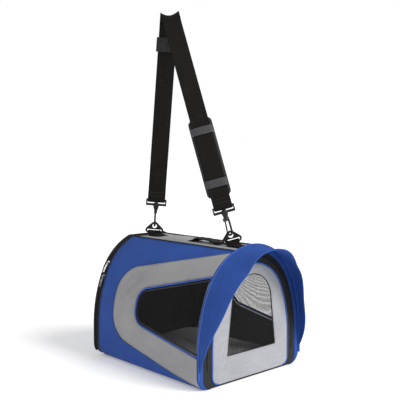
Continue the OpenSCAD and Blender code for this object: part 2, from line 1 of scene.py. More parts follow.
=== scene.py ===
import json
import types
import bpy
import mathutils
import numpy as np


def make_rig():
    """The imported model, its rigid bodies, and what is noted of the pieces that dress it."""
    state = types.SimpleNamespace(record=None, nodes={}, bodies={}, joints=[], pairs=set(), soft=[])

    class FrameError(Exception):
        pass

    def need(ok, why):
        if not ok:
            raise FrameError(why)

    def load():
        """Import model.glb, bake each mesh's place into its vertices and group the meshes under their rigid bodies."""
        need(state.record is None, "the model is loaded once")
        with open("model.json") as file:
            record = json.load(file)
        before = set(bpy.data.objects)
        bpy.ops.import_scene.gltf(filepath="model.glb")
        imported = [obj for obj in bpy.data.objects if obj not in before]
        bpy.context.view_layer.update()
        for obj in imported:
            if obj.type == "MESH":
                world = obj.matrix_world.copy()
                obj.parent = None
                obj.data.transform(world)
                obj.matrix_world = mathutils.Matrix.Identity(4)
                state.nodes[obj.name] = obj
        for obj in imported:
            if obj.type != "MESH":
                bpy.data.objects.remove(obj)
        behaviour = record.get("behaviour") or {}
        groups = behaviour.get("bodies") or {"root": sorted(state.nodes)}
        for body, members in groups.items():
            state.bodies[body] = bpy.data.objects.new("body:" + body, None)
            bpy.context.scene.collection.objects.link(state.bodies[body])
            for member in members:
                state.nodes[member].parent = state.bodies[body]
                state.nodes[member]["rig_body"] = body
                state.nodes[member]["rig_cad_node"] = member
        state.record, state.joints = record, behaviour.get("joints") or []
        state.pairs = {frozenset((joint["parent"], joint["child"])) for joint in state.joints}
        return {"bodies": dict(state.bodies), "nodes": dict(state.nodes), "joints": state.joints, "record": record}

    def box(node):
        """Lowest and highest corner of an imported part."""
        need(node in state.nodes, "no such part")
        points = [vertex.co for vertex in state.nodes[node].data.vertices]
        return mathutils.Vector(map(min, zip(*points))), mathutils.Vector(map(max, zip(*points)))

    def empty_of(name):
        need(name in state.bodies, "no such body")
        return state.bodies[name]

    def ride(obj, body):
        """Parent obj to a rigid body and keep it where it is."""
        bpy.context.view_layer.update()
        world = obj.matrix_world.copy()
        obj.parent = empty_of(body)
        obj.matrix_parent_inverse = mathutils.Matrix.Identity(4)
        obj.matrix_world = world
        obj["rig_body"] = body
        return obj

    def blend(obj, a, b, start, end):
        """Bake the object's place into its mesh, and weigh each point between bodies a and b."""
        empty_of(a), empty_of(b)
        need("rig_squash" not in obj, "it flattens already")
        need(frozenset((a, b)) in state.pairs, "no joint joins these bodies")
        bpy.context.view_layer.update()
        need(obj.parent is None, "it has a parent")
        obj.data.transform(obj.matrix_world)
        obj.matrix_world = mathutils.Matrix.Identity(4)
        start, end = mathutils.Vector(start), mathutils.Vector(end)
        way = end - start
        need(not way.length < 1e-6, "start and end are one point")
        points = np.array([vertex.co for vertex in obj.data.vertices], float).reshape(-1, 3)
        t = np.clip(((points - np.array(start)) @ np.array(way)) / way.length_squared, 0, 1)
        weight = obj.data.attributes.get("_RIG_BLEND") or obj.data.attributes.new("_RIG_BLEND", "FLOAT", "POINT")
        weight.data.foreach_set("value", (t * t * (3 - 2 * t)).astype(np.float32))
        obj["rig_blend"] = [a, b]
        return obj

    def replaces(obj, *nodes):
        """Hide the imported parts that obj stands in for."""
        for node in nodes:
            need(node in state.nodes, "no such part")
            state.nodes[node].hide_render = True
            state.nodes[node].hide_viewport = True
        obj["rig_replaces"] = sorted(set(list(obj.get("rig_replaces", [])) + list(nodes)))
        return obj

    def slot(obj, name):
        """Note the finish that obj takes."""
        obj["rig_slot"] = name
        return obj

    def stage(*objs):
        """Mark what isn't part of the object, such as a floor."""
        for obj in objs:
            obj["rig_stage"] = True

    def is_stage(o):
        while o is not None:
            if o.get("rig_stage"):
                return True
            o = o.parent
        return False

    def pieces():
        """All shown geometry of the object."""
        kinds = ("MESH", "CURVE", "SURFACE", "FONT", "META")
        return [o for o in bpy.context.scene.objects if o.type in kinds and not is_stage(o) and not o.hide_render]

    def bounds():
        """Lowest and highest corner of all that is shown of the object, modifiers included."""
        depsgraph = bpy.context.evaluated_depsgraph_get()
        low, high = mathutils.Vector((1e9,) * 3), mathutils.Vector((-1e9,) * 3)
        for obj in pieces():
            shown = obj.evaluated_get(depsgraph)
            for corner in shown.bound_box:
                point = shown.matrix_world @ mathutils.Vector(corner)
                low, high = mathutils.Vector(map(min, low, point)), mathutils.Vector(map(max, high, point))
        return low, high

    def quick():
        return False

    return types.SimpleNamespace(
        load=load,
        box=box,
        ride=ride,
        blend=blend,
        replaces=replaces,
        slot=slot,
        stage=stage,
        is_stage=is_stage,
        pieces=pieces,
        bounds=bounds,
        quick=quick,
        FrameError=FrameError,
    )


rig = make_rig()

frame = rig.load()

# A soft pet carrier bag: the fabric, webbing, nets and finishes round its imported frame.
# Metres throughout, +Z up, the front door on -Y, as in the frame.

import json
import math

import bmesh
import bpy
import numpy as np
from mathutils import Vector, noise

CAD_LOW, CAD_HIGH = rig.bounds()
JOINTS = {joint["name"]: joint for joint in frame["joints"]}


def low(node):
    return np.array(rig.box(node)[0])


def high(node):
    return np.array(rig.box(node)[1])


def centre(node):
    return (low(node) + high(node)) / 2


# -------- sizes
SIDES = ((-1, "left"), (1, "right"))
ENDS = ("front", "rear")
GAP = 0.0002
HALF_W, _, ARCH_H = high("front_border")
FRONT_Y = low("front_border")[1]
DOOR_T = high("front_border")[1] - FRONT_Y
TUNNEL_Y = low("side_panel_left")[1]
REAR_Y = high("side_panel_left")[1]
TOP_H = high("side_panel_left")[2]
WALL = high("base_panel")[2]
CORNER_R = HALF_W - high("base_panel")[0] - GAP

# The arch: side arcs and a crown arc that meet at the angle MEET
_side_centre = JOINTS["rear_slider_lower_travel"]["pos_m"]
SIDE_CX = -_side_centre[0]
LEAN_H = _side_centre[2]
SIDE_R = HALF_W - SIDE_CX
CROWN_R = ((ARCH_H - LEAN_H) ** 2 + SIDE_CX**2 - SIDE_R**2) / (2 * (ARCH_H - LEAN_H - SIDE_R))
CROWN_CZ = ARCH_H - CROWN_R
MEET = math.atan2(CROWN_CZ - LEAN_H, -SIDE_CX)

# Widths on the front and rear faces
BORDER_W = 0.014
TAPE_W = 0.022
DOOR_IN = BORDER_W + TAPE_W
COIL_IN = 0.025
DOOR_CORNER = 0.018
DOOR_FOOT = low("front_door_panel")[2]
PIPING_R = 0.0016
SEAM_DIP = 0.0005
REAR_BINDING = 0.006
REAR_IN = HALF_W - high("rear_door_binding")[0]

# Sideways U shapes on the side walls, as heights of their upper and lower lines at
# U_OPEN_Y and at the nose, where the nose is, and the radius of its corners
U_OPEN_Y = FRONT_Y - 0.06
BAND = dict(top=0.27, bottom=-0.007, nose_top=0.2, nose_bottom=0.062,
            nose_y=high("side_band_left")[1], radius=0.062)
WINDOW = dict(top=0.232, bottom=0.054, nose_top=0.168, nose_bottom=0.099,
              nose_y=high("window_piping_left")[1], radius=0.033)
U_COUNTS = (26, 12, 10, 12, 26)

# Nets
NET_PITCH = 0.0021
NET_STRAND = 0.00046
NET_DEPTH = 0.0016


# -------- small tools
def unit(v):
    v = np.asarray(v, float)
    return v / np.linalg.norm(v, axis=-1, keepdims=True)


def smooth(a, b, x):
    t = np.clip((np.asarray(x, float) - a) / (b - a), 0, 1)
    return t * t * (3 - 2 * t)


def bumps(points, size, seed):
    """Smooth noise from -1 to 1 at each point, with features about size metres apart."""
    points = np.asarray(points, float)
    shift = Vector((seed * 3.1, seed * 1.7, seed))
    flat = points.reshape(-1, points.shape[-1])
    values = [noise.noise(Vector(p).to_3d() / size + shift) for p in flat]
    return np.array(values).reshape(points.shape[:-1])


def pillow(distance, rise, roll=0.005):
    """Height of padded cloth at a distance from its seam: it rolls up, then crowns."""
    t = np.clip(distance / roll, 0, 1)
    return rise * (0.6 * np.sqrt(1 - (1 - t) ** 2) + 0.4 * np.tanh(distance / 0.04))


def bell(x, middle, width):
    """Rises smoothly from 0 to 1 and falls back, round a middle."""
    return np.exp(-(((x - middle) / width) ** 2))


def woven(across, along):
    """Places in the weave on a grid, from values that spread over its rows and columns."""
    return np.stack(np.broadcast_arrays(across, along), -1)


def polyline(corners, counts):
    """Points along straight legs between corners, with a number of steps for each leg."""
    corners = np.asarray(corners, float)
    points = [corners[:1]]
    for a, b, count in zip(corners[:-1], corners[1:], counts):
        t = np.linspace(0, 1, count + 1)[1:, None]
        points.append(a + (b - a) * t)
    return np.concatenate(points)


def travelled(path):
    """Distance along a path at each of its points."""
    steps = np.linalg.norm(np.diff(path, axis=0), axis=1)
    return np.concatenate([[0], np.cumsum(steps)])


def resample(path, step, axes=3):
    """The same path with even steps, measured over its first axes; the rest goes along."""
    along = travelled(path[:, :axes])
    count = max(2, int(round(along[-1] / step)) + 1)
    want = np.linspace(0, along[-1], count)
    return np.stack([np.interp(want, along, path[:, k]) for k in range(path.shape[1])], 1)


def tangents(path, closed=False):
    if closed:
        return unit(np.roll(path, -1, 0) - np.roll(path, 1, 0))
    return unit(np.gradient(path, axis=0))


def circle(radius, sides=10):
    a = np.linspace(0, 2 * math.pi, sides, endpoint=False)
    return np.stack([radius * np.cos(a), radius * np.sin(a)], 1)


def oval(half_a, half_b, sides=14):
    return circle(1.0, sides) * (half_a, half_b)


def webbing_outline(width, thickness, columns=8):
    """Cross-section of woven webbing: flat, a little thicker inside its edges."""
    x = np.linspace(-0.5, 0.5, columns + 1)
    edge = np.clip((0.5 - np.abs(x)) * width / (0.9 * thickness), 0, 1)
    half = thickness * (0.22 + 0.28 * np.sqrt(edge))
    top = np.stack([x * width, half], 1)
    return np.concatenate([top, (top * (1, -1))[::-1]])


# -------- pieces
SHARP_DEG = 40


def in_scene(name, data):
    """A new object, linked to the scene."""
    ob = bpy.data.objects.new(name, data)
    bpy.context.scene.collection.objects.link(ob)
    return ob


class Piece:
    """Collects grids and swept outlines, then becomes one mesh object."""

    def __init__(self, name, *materials):
        self.name, self.materials = name, materials
        self.points, self.cloth, self.faces, self.slots = [], [], [], []
        self.count = 0

    def add(self, points, cloth):
        """Adds a grid of points, with their places in the cloth's weave."""
        shape = points.shape[:-1]
        self.points.append(points.reshape(-1, 3))
        self.cloth.append(np.asarray(cloth, float).reshape(-1, 2))
        self.count += math.prod(shape)
        return np.arange(self.count - math.prod(shape), self.count).reshape(shape)

    def quads(self, index, slot=0, flip=False):
        corners = [index[:-1, :-1], index[1:, :-1], index[1:, 1:], index[:-1, 1:]]
        quads = np.stack(corners, -1).reshape(-1, 4)
        self.faces += (quads[:, ::-1] if flip else quads).tolist()
        self.slots += [slot] * len(quads)

    def cap(self, ring, slot=0):
        self.faces.append(ring.tolist())
        self.slots.append(slot)

    def slab(self, face, back, cloth, wrap=False, lining=0, filled=False):
        """A sheet with a face, a back and closed rims; wrap joins its ends into a ring,
        and filled closes the middle of the ring."""
        a, b = self.add(face, cloth), self.add(back, cloth)
        if filled:
            self.cap(a[0])
            self.cap(b[0], lining)
        if wrap:
            a, b = (np.concatenate([grid, grid[:, :1]], 1) for grid in (a, b))
        self.quads(a)
        self.quads(b, lining, flip=True)
        if wrap:
            for row in (-1,) if filled else (0, -1):
                self.quads(np.stack([a[row], b[row]]))
            return
        rims = [np.concatenate([g[0], g[1:, -1], g[-1, -2::-1], g[-2::-1, 0]]) for g in (a, b)]
        self.quads(np.stack(rims))

    def skin(self, rings, closed=False, slot=0):
        """Joins rings of points into a tube, capped unless it is closed."""
        cloth = woven(travelled(rings.mean(1))[:, None], travelled(rings[0]))
        index = self.add(rings, cloth)
        for ring in () if closed else (index[0], index[-1]):
            self.cap(ring, slot)
        index = np.concatenate([index, index[:, :1]], 1)
        if closed:
            index = np.concatenate([index, index[:1]], 0)
        self.quads(index, slot)

    def sweep(self, outline, path, across, closed=False, slot=0):
        """Sweeps an outline along a path; across is its first axis, one or one a point."""
        self.skin(rings_along(outline, path, across, closed), closed, slot)

    def build(self):
        mesh = bpy.data.meshes.new(self.name)
        mesh.from_pydata(np.concatenate(self.points).tolist(), [], self.faces)
        for material in self.materials:
            mesh.materials.append(material)
        mesh.polygons.foreach_set("material_index", self.slots)
        mesh.polygons.foreach_set("use_smooth", [True] * len(self.faces))
        set_cloth(mesh, np.concatenate(self.cloth))
        shell = bmesh.new()
        shell.from_mesh(mesh)
        bmesh.ops.recalc_face_normals(shell, faces=shell.faces)
        shell.to_mesh(mesh)
        shell.free()
        mesh.set_sharp_from_angle(angle=math.radians(SHARP_DEG))
        return in_scene(self.name, mesh)

    def finish(self, body, slot, *replaced):
        return finish(self.build(), body, slot, *replaced)


def set_cloth(mesh, places):
    """Stores each vertex's place in the weave, which the fabric materials read."""
    attribute = mesh.attributes.new("cloth", "FLOAT_VECTOR", "POINT")
    places = np.concatenate([places, np.zeros((len(places), 3 - places.shape[1]))], 1)
    attribute.data.foreach_set("vector", places.astype(np.float32).ravel())


def rings_along(outline, path, across, closed=False):
    path = np.asarray(path, float)
    forward = tangents(path, closed)
    across = np.broadcast_to(np.asarray(across, float), path.shape)
    across = unit(across - forward * (across * forward).sum(1, keepdims=True))
    up = np.cross(forward, across)
    a, b = outline[:, 0], outline[:, 1]
    return path[:, None] + a[None, :, None] * across[:, None] + b[None, :, None] * up[:, None]


def finish(piece, body, slot, *replaced):
    """The piece takes a material slot and stands for the CAD node of its own name, or for
    the nodes given. It rides on a body, unless it is blended between two bodies."""
    if body:
        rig.ride(piece, body)
    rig.slot(piece, slot)
    own = piece.name.split(".")[0]
    nodes = replaced or [own] * (own in frame["nodes"])
    if nodes:
        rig.replaces(piece, *nodes)
    return piece


def tube(name, material, outline, path, across, body, slot):
    """A piece that is one outline swept along one path."""
    piece = Piece(name, material)
    piece.sweep(outline, path, across)
    piece.finish(body, slot)


def stitches(piece, path, up, slot, length=0.0028, gap=0.0013, width=0.0005):
    """A row of raised thread stitches along a path on a surface with normal up."""
    up = np.broadcast_to(np.asarray(up, float), path.shape)
    rows = resample(np.concatenate([path, up], 1), (length + gap) / 2)
    outline = oval(width, width * 0.8, 6)
    for k in range(0, len(rows) - 2, 2):
        a, b = rows[k, :3], rows[k + 1, :3]
        normal = unit(rows[k, 3:])
        middle = (a + b) / 2 + normal * width * 0.6
        reach = unit(b - a) * length / 2
        line = np.array([middle - reach - normal * width, middle, middle + reach - normal * width])
        piece.sweep(outline, line, np.cross(unit(b - a), normal), slot=slot)


# -------- materials
DUST = (0.42, 0.4, 0.37, 1)


class Nodes:
    """A material and short ways to add its nodes."""

    def __init__(self, name):
        self.material = bpy.data.materials.new(name)
        self.material.use_nodes = True
        self.tree = self.material.node_tree
        self.tree.nodes.clear()
        self.shader = self.node("BsdfPrincipled")
        output = self.node("OutputMaterial")
        self.tree.links.new(self.shader.outputs[0], output.inputs[0])
        self.where = self.node("TexCoord").outputs["Object"]

    def node(self, kind, **settings):
        node = self.tree.nodes.new("ShaderNode" + kind)
        for key, value in settings.items():
            setattr(node, key, value)
        return node

    def feed(self, socket, value):
        if isinstance(value, bpy.types.NodeSocket):
            self.tree.links.new(value, socket)
        else:
            socket.default_value = value

    def math(self, operation, a, b=0.0):
        node = self.node("Math", operation=operation)
        self.feed(node.inputs[0], a)
        self.feed(node.inputs[1], b)
        return node.outputs[0]

    def wave(self, value, pitch):
        return self.math("SINE", self.math("MULTIPLY", value, 2 * math.pi / pitch))

    def noise(self, vector, scale, detail=2.0, stretch=None):
        if stretch:
            mapping = self.node("Mapping")
            self.feed(mapping.inputs["Vector"], vector)
            mapping.inputs["Scale"].default_value = stretch
            vector = mapping.outputs[0]
        node = self.node("TexNoise")
        self.feed(node.inputs["Vector"], vector)
        node.inputs["Scale"].default_value = scale
        node.inputs["Detail"].default_value = detail
        return node.outputs["Fac"]

    def mix(self, share, a, b):
        node = self.node("Mix", data_type="RGBA")
        self.feed(node.inputs[0], share)
        self.feed(node.inputs[6], a)
        self.feed(node.inputs[7], b)
        return node.outputs[2]

    def span(self, value, low_in, high_in, low_out, high_out):
        node = self.node("MapRange")
        for socket, number in zip(node.inputs, (value, low_in, high_in, low_out, high_out)):
            self.feed(socket, number)
        return node.outputs[0]

    def patches(self, cloud, colour, dark, light, start=0.3, end=0.7):
        """A colour that drifts between a darker and a lighter shade of itself."""
        share = self.span(cloud, start, end, 0, 1)
        return self.mix(share, shade(colour, dark), shade(colour, light))

    def bump(self, height, distance):
        node = self.node("Bump")
        self.feed(node.inputs["Height"], height)
        node.inputs["Distance"].default_value = distance
        self.feed(self.shader.inputs["Normal"], node.outputs[0])

    def set(self, **inputs):
        for name, value in inputs.items():
            self.feed(self.shader.inputs[name.replace("_", " ")], value)


def shade(colour, factor):
    return tuple(min(c * factor, 1) for c in colour[:3]) + (1.0,)


def fabric(name, colour, pitch=0.0009, roughness=0.72, sheen=0.25, depth=0.00012, pattern="plain",
           gloss=0.35, dusty=0.06):
    """Woven cloth: threads, broad tone changes, faint dust and a soft sheen."""
    n = Nodes(name)
    cloth = n.node("Attribute", attribute_name="cloth").outputs["Vector"]
    split = n.node("SeparateXYZ")
    n.feed(split.inputs[0], cloth)
    u, v = split.outputs[0], split.outputs[1]
    if pattern == "webbing":
        slant = n.math("ADD", u, n.math("PINGPONG", v, 4 * pitch))
        weave = n.math("ADD", n.wave(slant, 2 * pitch), n.wave(v, 2 * pitch))
        weave = n.math("MULTIPLY", weave, 0.5)
    else:
        weave = n.math("MULTIPLY", n.wave(u, 2 * pitch), n.wave(v, 2 * pitch))
    slub = n.noise(cloth, 260, 2.0, (0.12, 1.0, 1.0))
    broad = n.noise(n.where, 14, 4.0)
    dust = n.noise(n.where, 55, 6.0)
    tone = n.patches(broad, colour, 0.9, 1.1)
    tone = n.mix(n.span(weave, -1, 1, 0.24, 0), tone, shade(colour, 0.45))
    tone = n.mix(n.span(slub, 0.35, 0.7, 0, 0.16), tone, shade(colour, 1.5))
    tone = n.mix(n.span(dust, 0.62, 0.8, 0, dusty), tone, DUST)
    n.set(Base_Color=tone, Sheen_Weight=sheen, Sheen_Roughness=0.45)
    n.set(Sheen_Tint=shade(colour, 2.2), Specular_IOR_Level=gloss)
    worn = n.math("ADD", broad, weave)
    n.set(Roughness=n.span(worn, -0.6, 1.6, roughness + 0.1, roughness - 0.1))
    n.bump(n.math("ADD", weave, n.math("MULTIPLY", slub, 1.2)), depth)
    return n.material


def plastic(name, colour, roughness=0.42):
    """Moulded plastic: a fine spark-eroded grain, rubbed smoother and paler in places."""
    n = Nodes(name)
    rub = n.noise(n.where, 120, 5.0)
    n.set(Base_Color=n.patches(rub, colour, 0.85, 1.6, 0.35, 0.75), Specular_IOR_Level=0.3)
    n.set(Roughness=n.span(rub, 0.3, 0.7, roughness + 0.1, roughness - 0.12))
    n.bump(n.noise(n.where, 2600, 2.0), 0.00006)
    return n.material


def metal(name, colour, roughness=0.24):
    """Plated metal with fine scratches along one way."""
    n = Nodes(name)
    cloud = n.noise(n.where, 160, 4.0)
    n.set(Base_Color=n.patches(cloud, colour, 0.8, 1.1), Metallic=1.0)
    n.set(Roughness=n.span(cloud, 0.3, 0.7, roughness - 0.08, roughness + 0.14))
    n.bump(n.noise(n.where, 900, 3.0, (1.0, 1.0, 0.08)), 0.00004)
    return n.material


def felt_board(name, colour):
    """Pressed board with short fibres in every direction."""
    n = Nodes(name)
    fibre = n.noise(n.where, 700, 6.0, (1.0, 0.2, 1.0))
    cloud = n.noise(n.where, 30, 3.0)
    tone = n.mix(fibre, shade(colour, 0.7), shade(colour, 1.3))
    tone = n.mix(n.span(cloud, 0.3, 0.7, 0, 0.3), tone, shade(colour, 0.6))
    n.set(Base_Color=tone, Roughness=n.span(fibre, 0.3, 0.7, 0.95, 0.75))
    n.bump(fibre, 0.0002)
    return n.material


BLUE = fabric("blue_nylon", (0.022, 0.074, 0.32), gloss=0.22)
GREY = fabric("grey_nylon", (0.325, 0.322, 0.33))
# The door's cloth: the grey nylon painted lighter, as painted light for the door's lit face
DOOR_GREY_PAINTED_LIGHT = fabric("door_grey_nylon", (0.385, 0.392, 0.415))
# Piping cord cover: a satin blue with a real sheen, its colour painted lighter than the blue cloth as a painted
# highlight along the piping
CORD_PAINTED_HIGHLIGHT = fabric("blue_cord_cover", (0.04, 0.115, 0.47), pitch=0.0006, sheen=0.5)
LINING = fabric("black_lining", (0.016, 0.016, 0.017), sheen=0.12)
BLACK = fabric("black_nylon", (0.016, 0.015, 0.015), sheen=0.12)
WEBBING = fabric("black_webbing_weave", (0.0115, 0.0105, 0.0095), pitch=0.0011, depth=0.0003,
                 sheen=0.05, pattern="webbing", gloss=0.1, dusty=0.03)
NET = fabric("black_net_yarn", (0.02, 0.02, 0.021), pitch=0.0003, depth=0.00003)
TAPE = fabric("zip_tape_weave", (0.017, 0.017, 0.017), pitch=0.0008, pattern="webbing")
PAD_CLOTH = fabric("charcoal_pad_cloth", (0.045, 0.045, 0.046), pitch=0.0008)
PAD_BINDING = fabric("charcoal_binding", (0.03, 0.03, 0.031), pitch=0.0006, sheen=0.12)
LOOP = fabric("charcoal_webbing_weave", (0.062, 0.062, 0.066), pitch=0.001, depth=0.0002,
              pattern="webbing")
FLEECE = fabric("grey_floor_fleece", (0.4, 0.4, 0.41), pitch=0.0014, roughness=0.9, sheen=0.6,
                depth=0.0004)
THREAD_BLUE = fabric("blue_thread", (0.045, 0.125, 0.48), pitch=0.0004)
THREAD_GREY = fabric("grey_thread", (0.36, 0.36, 0.37), pitch=0.0004)
THREAD_BLACK = fabric("black_thread", (0.035, 0.034, 0.034), pitch=0.0004)
THREAD_PALE = fabric("pale_thread", (0.62, 0.6, 0.58), pitch=0.0004)
PLASTIC = plastic("black_acetal", (0.014, 0.0138, 0.0138))
COIL = plastic("black_coil_nylon", (0.024, 0.024, 0.025), 0.35)
NICKEL = metal("nickel_plate", (0.36, 0.355, 0.335), 0.34)
STEEL = metal("spring_steel_strip", (0.42, 0.43, 0.46), 0.38)
PIN = metal("pin_steel_rod", (0.55, 0.55, 0.56), 0.3)
BOARD = felt_board("grey_board", (0.12, 0.12, 0.12))


# -------- the arch
def arc(cx, cz, radius, start, end, steps):
    """Rows of x, z and outward normal along an arc."""
    a = np.linspace(start, end, steps + 1)
    return np.stack([cx + radius * np.cos(a), cz + radius * np.sin(a), np.cos(a), np.sin(a)], 1)


def arch_path(inset, corner=None, foot=0.0, top=None, start=None):
    """The arch drawn in by inset, from its left foot over the top to its right foot, as
    rows of x, z and outward normal. With start it begins at that height instead of with
    a bottom corner; with top it is cut off flat at that height."""
    if start is None:
        bottom = arc(HALF_W - inset - corner, foot + corner, corner, -math.pi / 2, 0, 8)
    else:
        bottom = np.array([[HALF_W - inset, start, 1.0, 0.0]])
    rise = polyline([bottom[-1, :2], [HALF_W - inset, LEAN_H]], [4])[1:]
    rise = np.concatenate([rise, np.tile([1.0, 0.0], (len(rise), 1))], 1)
    side = arc(SIDE_CX, LEAN_H, SIDE_R - inset, 0, MEET, 12)[1:]
    end = math.pi / 2 if top is None else math.asin((top - CROWN_CZ) / (CROWN_R - inset))
    crown = arc(0, CROWN_CZ, CROWN_R - inset, MEET, end, 24)[1:]
    right = np.concatenate([bottom, rise, side, crown])
    left = right * (-1, 1, -1, 1)
    if top is None:
        return np.concatenate([left, right[-2::-1]])
    return np.concatenate([left, right[::-1]])


def upright(outline, y):
    """An outline of x and z as points in space at a depth along the bag."""
    return np.stack([outline[:, 0], np.full(len(outline), y), outline[:, 1]], 1)


def at_y(path, y):
    """Points in space and outward normals of an arch path at a depth along the bag."""
    return upright(path, y), upright(path[:, 2:], 0)


# -------- side walls
TOP_ANGLE = math.asin((TOP_H - CROWN_CZ) / CROWN_R)
S_CORNER = CORNER_R * math.pi / 2
S_LEAN = S_CORNER + LEAN_H - CORNER_R
S_MEET = S_LEAN + SIDE_R * MEET
S_TOP = S_MEET + CROWN_R * (TOP_ANGLE - MEET)


def wall_points(y, s, depth, side):
    """Points of a side wall at a distance s up it from the base, sunk in by depth."""
    y, s, depth = np.broadcast_arrays(y, s, depth)
    zone = [s < S_CORNER, s < S_LEAN, s < S_MEET]
    a = np.select(zone, [s / CORNER_R - math.pi / 2, 0 * s, (s - S_LEAN) / SIDE_R],
                  MEET + (s - S_MEET) / CROWN_R)
    radius = np.select(zone, [CORNER_R, 0, SIDE_R], CROWN_R) - depth
    x = np.select(zone, [HALF_W - CORNER_R, HALF_W, SIDE_CX]) + radius * np.cos(a)
    z = np.select(zone, [CORNER_R, CORNER_R + s - S_CORNER, LEAN_H], CROWN_CZ)
    return np.stack([side * x, y, z + radius * np.sin(a)], -1)


def wall_frame(path, depth, side):
    """Points and outward normals of a side wall along a path of y and distance up it."""
    points = wall_points(path[:, 0], path[:, 1], depth, side)
    return points, unit(wall_points(path[:, 0], path[:, 1], -1.0, side) - points)


def up_wall(z):
    """Distance up the side wall at height z."""
    corner = CORNER_R * (np.arcsin(np.clip(z / CORNER_R - 1, -1, 0)) + math.pi / 2)
    lean = S_LEAN + SIDE_R * np.arcsin(np.clip((z - LEAN_H) / SIDE_R, 0, 1))
    crown = S_MEET + CROWN_R * (np.arcsin(np.clip((z - CROWN_CZ) / CROWN_R, -1, 1)) - MEET)
    return np.select([z < CORNER_R, z < LEAN_H, z < CROWN_CZ + CROWN_R * math.sin(MEET)],
                     [corner, S_CORNER + z - CORNER_R, lean], crown)


def rounded(a, b, c, radius, steps):
    """The arc that rounds corner b between a and c."""
    u, v = unit(a - b), unit(c - b)
    half = math.acos(float(u @ v)) / 2
    middle = b + unit(u + v) * radius / math.sin(half)
    start = b + u * radius / math.tan(half) - middle
    turn = math.copysign(math.pi - 2 * half, start[0] * v[1] - start[1] * v[0])
    angle = math.atan2(start[1], start[0])
    return arc(*middle, radius, angle, angle + turn, steps)[:, :2]


def sideways_u(grow, top, bottom, nose_top, nose_bottom, nose_y, radius):
    """A U that opens to the front, grown by a margin, as y and distance up the wall."""
    corners = np.array([[U_OPEN_Y, top + grow], [nose_y + grow, nose_top + grow],
                        [nose_y + grow, nose_bottom - grow], [U_OPEN_Y, bottom - grow]])
    upper = rounded(*corners[:3], radius + grow, U_COUNTS[1])
    lower = rounded(*corners[1:], radius + grow, U_COUNTS[3])

    def cut(outer, inner):
        share = (TUNNEL_Y - outer[0]) / (inner[0] - outer[0])
        return outer + (inner - outer) * share

    path = np.concatenate([
        polyline([cut(corners[0], corners[1]), upper[0]], [U_COUNTS[0]])[:-1], upper,
        polyline([upper[-1], lower[0]], [U_COUNTS[2]])[1:-1], lower,
        polyline([lower[-1], cut(corners[3], corners[2])], [U_COUNTS[4]])[1:],
    ])
    return np.stack([path[:, 0], up_wall(path[:, 1])], 1)


def strip(inner, outer, rows):
    """Grid between two paths, closer at its edges, and each point's distance from the
    nearer path."""
    r = np.linspace(0, 1, rows)
    r = r - 0.1 * np.sin(2 * math.pi * r)
    grid = inner[None] + (outer - inner)[None] * r[:, None, None]
    width = np.linalg.norm(outer - inner, axis=1)
    return grid, np.minimum(r, 1 - r)[:, None] * width[None]


def side_cloth(name, inner, outer, rows, side, rise, wrinkle, seed, cloth, thread):
    """A padded panel of the side wall between two outlines, stitched along both."""
    grid, seam = strip(inner, outer, rows)
    y, s = grid[..., 0], grid[..., 1]
    calm = smooth(0, 0.025, np.minimum(y - TUNNEL_Y, seam))
    height = pillow(seam, rise) + wrinkle(y, s) * calm
    height += 0.0006 * bumps(np.stack([y, s * 1.7], -1), 0.035, seed) * calm
    face = wall_points(y, s, 0.0006 - height, side)
    face[..., 2] = np.maximum(face[..., 2], 0)
    piece = Piece(name, cloth, LINING, thread)
    piece.slab(face, wall_points(y, s, WALL, side), grid, lining=1)
    for row in (2, -3):
        points, normals = wall_frame(strip(inner, outer, 41)[0][row], -0.001, side)
        clear = points[:, 2] > 0.0025
        stitches(piece, points[clear], normals[clear], 2)
    return piece


def band_folds(y, s):
    """Soft slanting folds where the grey band turns round behind the window."""
    near = bell(y, 0.058, 0.036) * bell(s, 0.19, 0.055)
    phase = (0.8 * y + 0.6 * s) / 0.023 * 2 * math.pi
    ridge = 0.5 + 0.5 * np.sin(phase + 1.5 * np.sin(s / 0.03))
    return 0.006 * ridge**2 * near


def panel_pulls(y, s):
    """Faint pulls below the top seam and a hollow above the rear bottom corner."""
    top = bell(s, S_TOP - 0.02, 0.035)
    fan = np.sin((y + 0.6 * (S_TOP - s)) / 0.021 * 2 * math.pi) * 0.0007
    rear = bell(y, 0.11, 0.04) * bell(s, 0.05, 0.03)
    return fan * top - 0.0014 * rear


def panel_frame():
    """The outline of a whole side panel, matched leg by leg to a sideways U."""
    turn = 0.055
    half = U_COUNTS[1] // 2
    corners = [(TUNNEL_Y, S_TOP), (REAR_Y - turn, S_TOP), (REAR_Y, S_TOP), (REAR_Y, S_TOP - turn),
               (REAR_Y, turn), (REAR_Y, 0.0), (REAR_Y - turn, 0.0), (TUNNEL_Y, 0.0)]
    return polyline(corners, [U_COUNTS[0], half, half, U_COUNTS[2], half, half, U_COUNTS[4]])


def spans(outline, axis, value):
    """Where a closed outline crosses the line on which a coordinate has a value, in pairs."""
    a, b = outline, np.roll(outline, -1, 0)
    hit = (a[:, axis] <= value) != (b[:, axis] <= value)
    a, b = a[hit], b[hit]
    share = (value - a[:, axis]) / (b[:, axis] - a[:, axis])
    other = 1 - axis
    crossings = np.sort(a[:, other] + share * (b[:, other] - a[:, other]))
    return list(zip(crossings[::2], crossings[1::2]))


def net(piece, outline, surface, step):
    """Net yarns both ways inside a flat outline; surface(u, v, lift) gives their place."""
    yarn = np.array([[1, 0], [0, 1], [-1, 0], [0, -1]]) * NET_STRAND * 0.62
    for axis in (0, 1):
        first, last = outline[:, axis].min(), outline[:, axis].max()
        for value in np.arange(first + NET_PITCH / 2, last, NET_PITCH):
            for a, b in spans(outline, axis, value):
                if b - a < NET_PITCH:
                    continue
                other = np.linspace(a, b, max(2, int((b - a) / step) + 2))
                fixed = np.full_like(other, value)
                u, v = (fixed, other) if axis == 0 else (other, fixed)
                line = surface(u, v, NET_STRAND * 0.3 * (1 - 2 * axis))
                normal = surface(u, v, 1.0) - surface(u, v, 0.0)
                piece.sweep(yarn, line, np.cross(normal, tangents(line)))


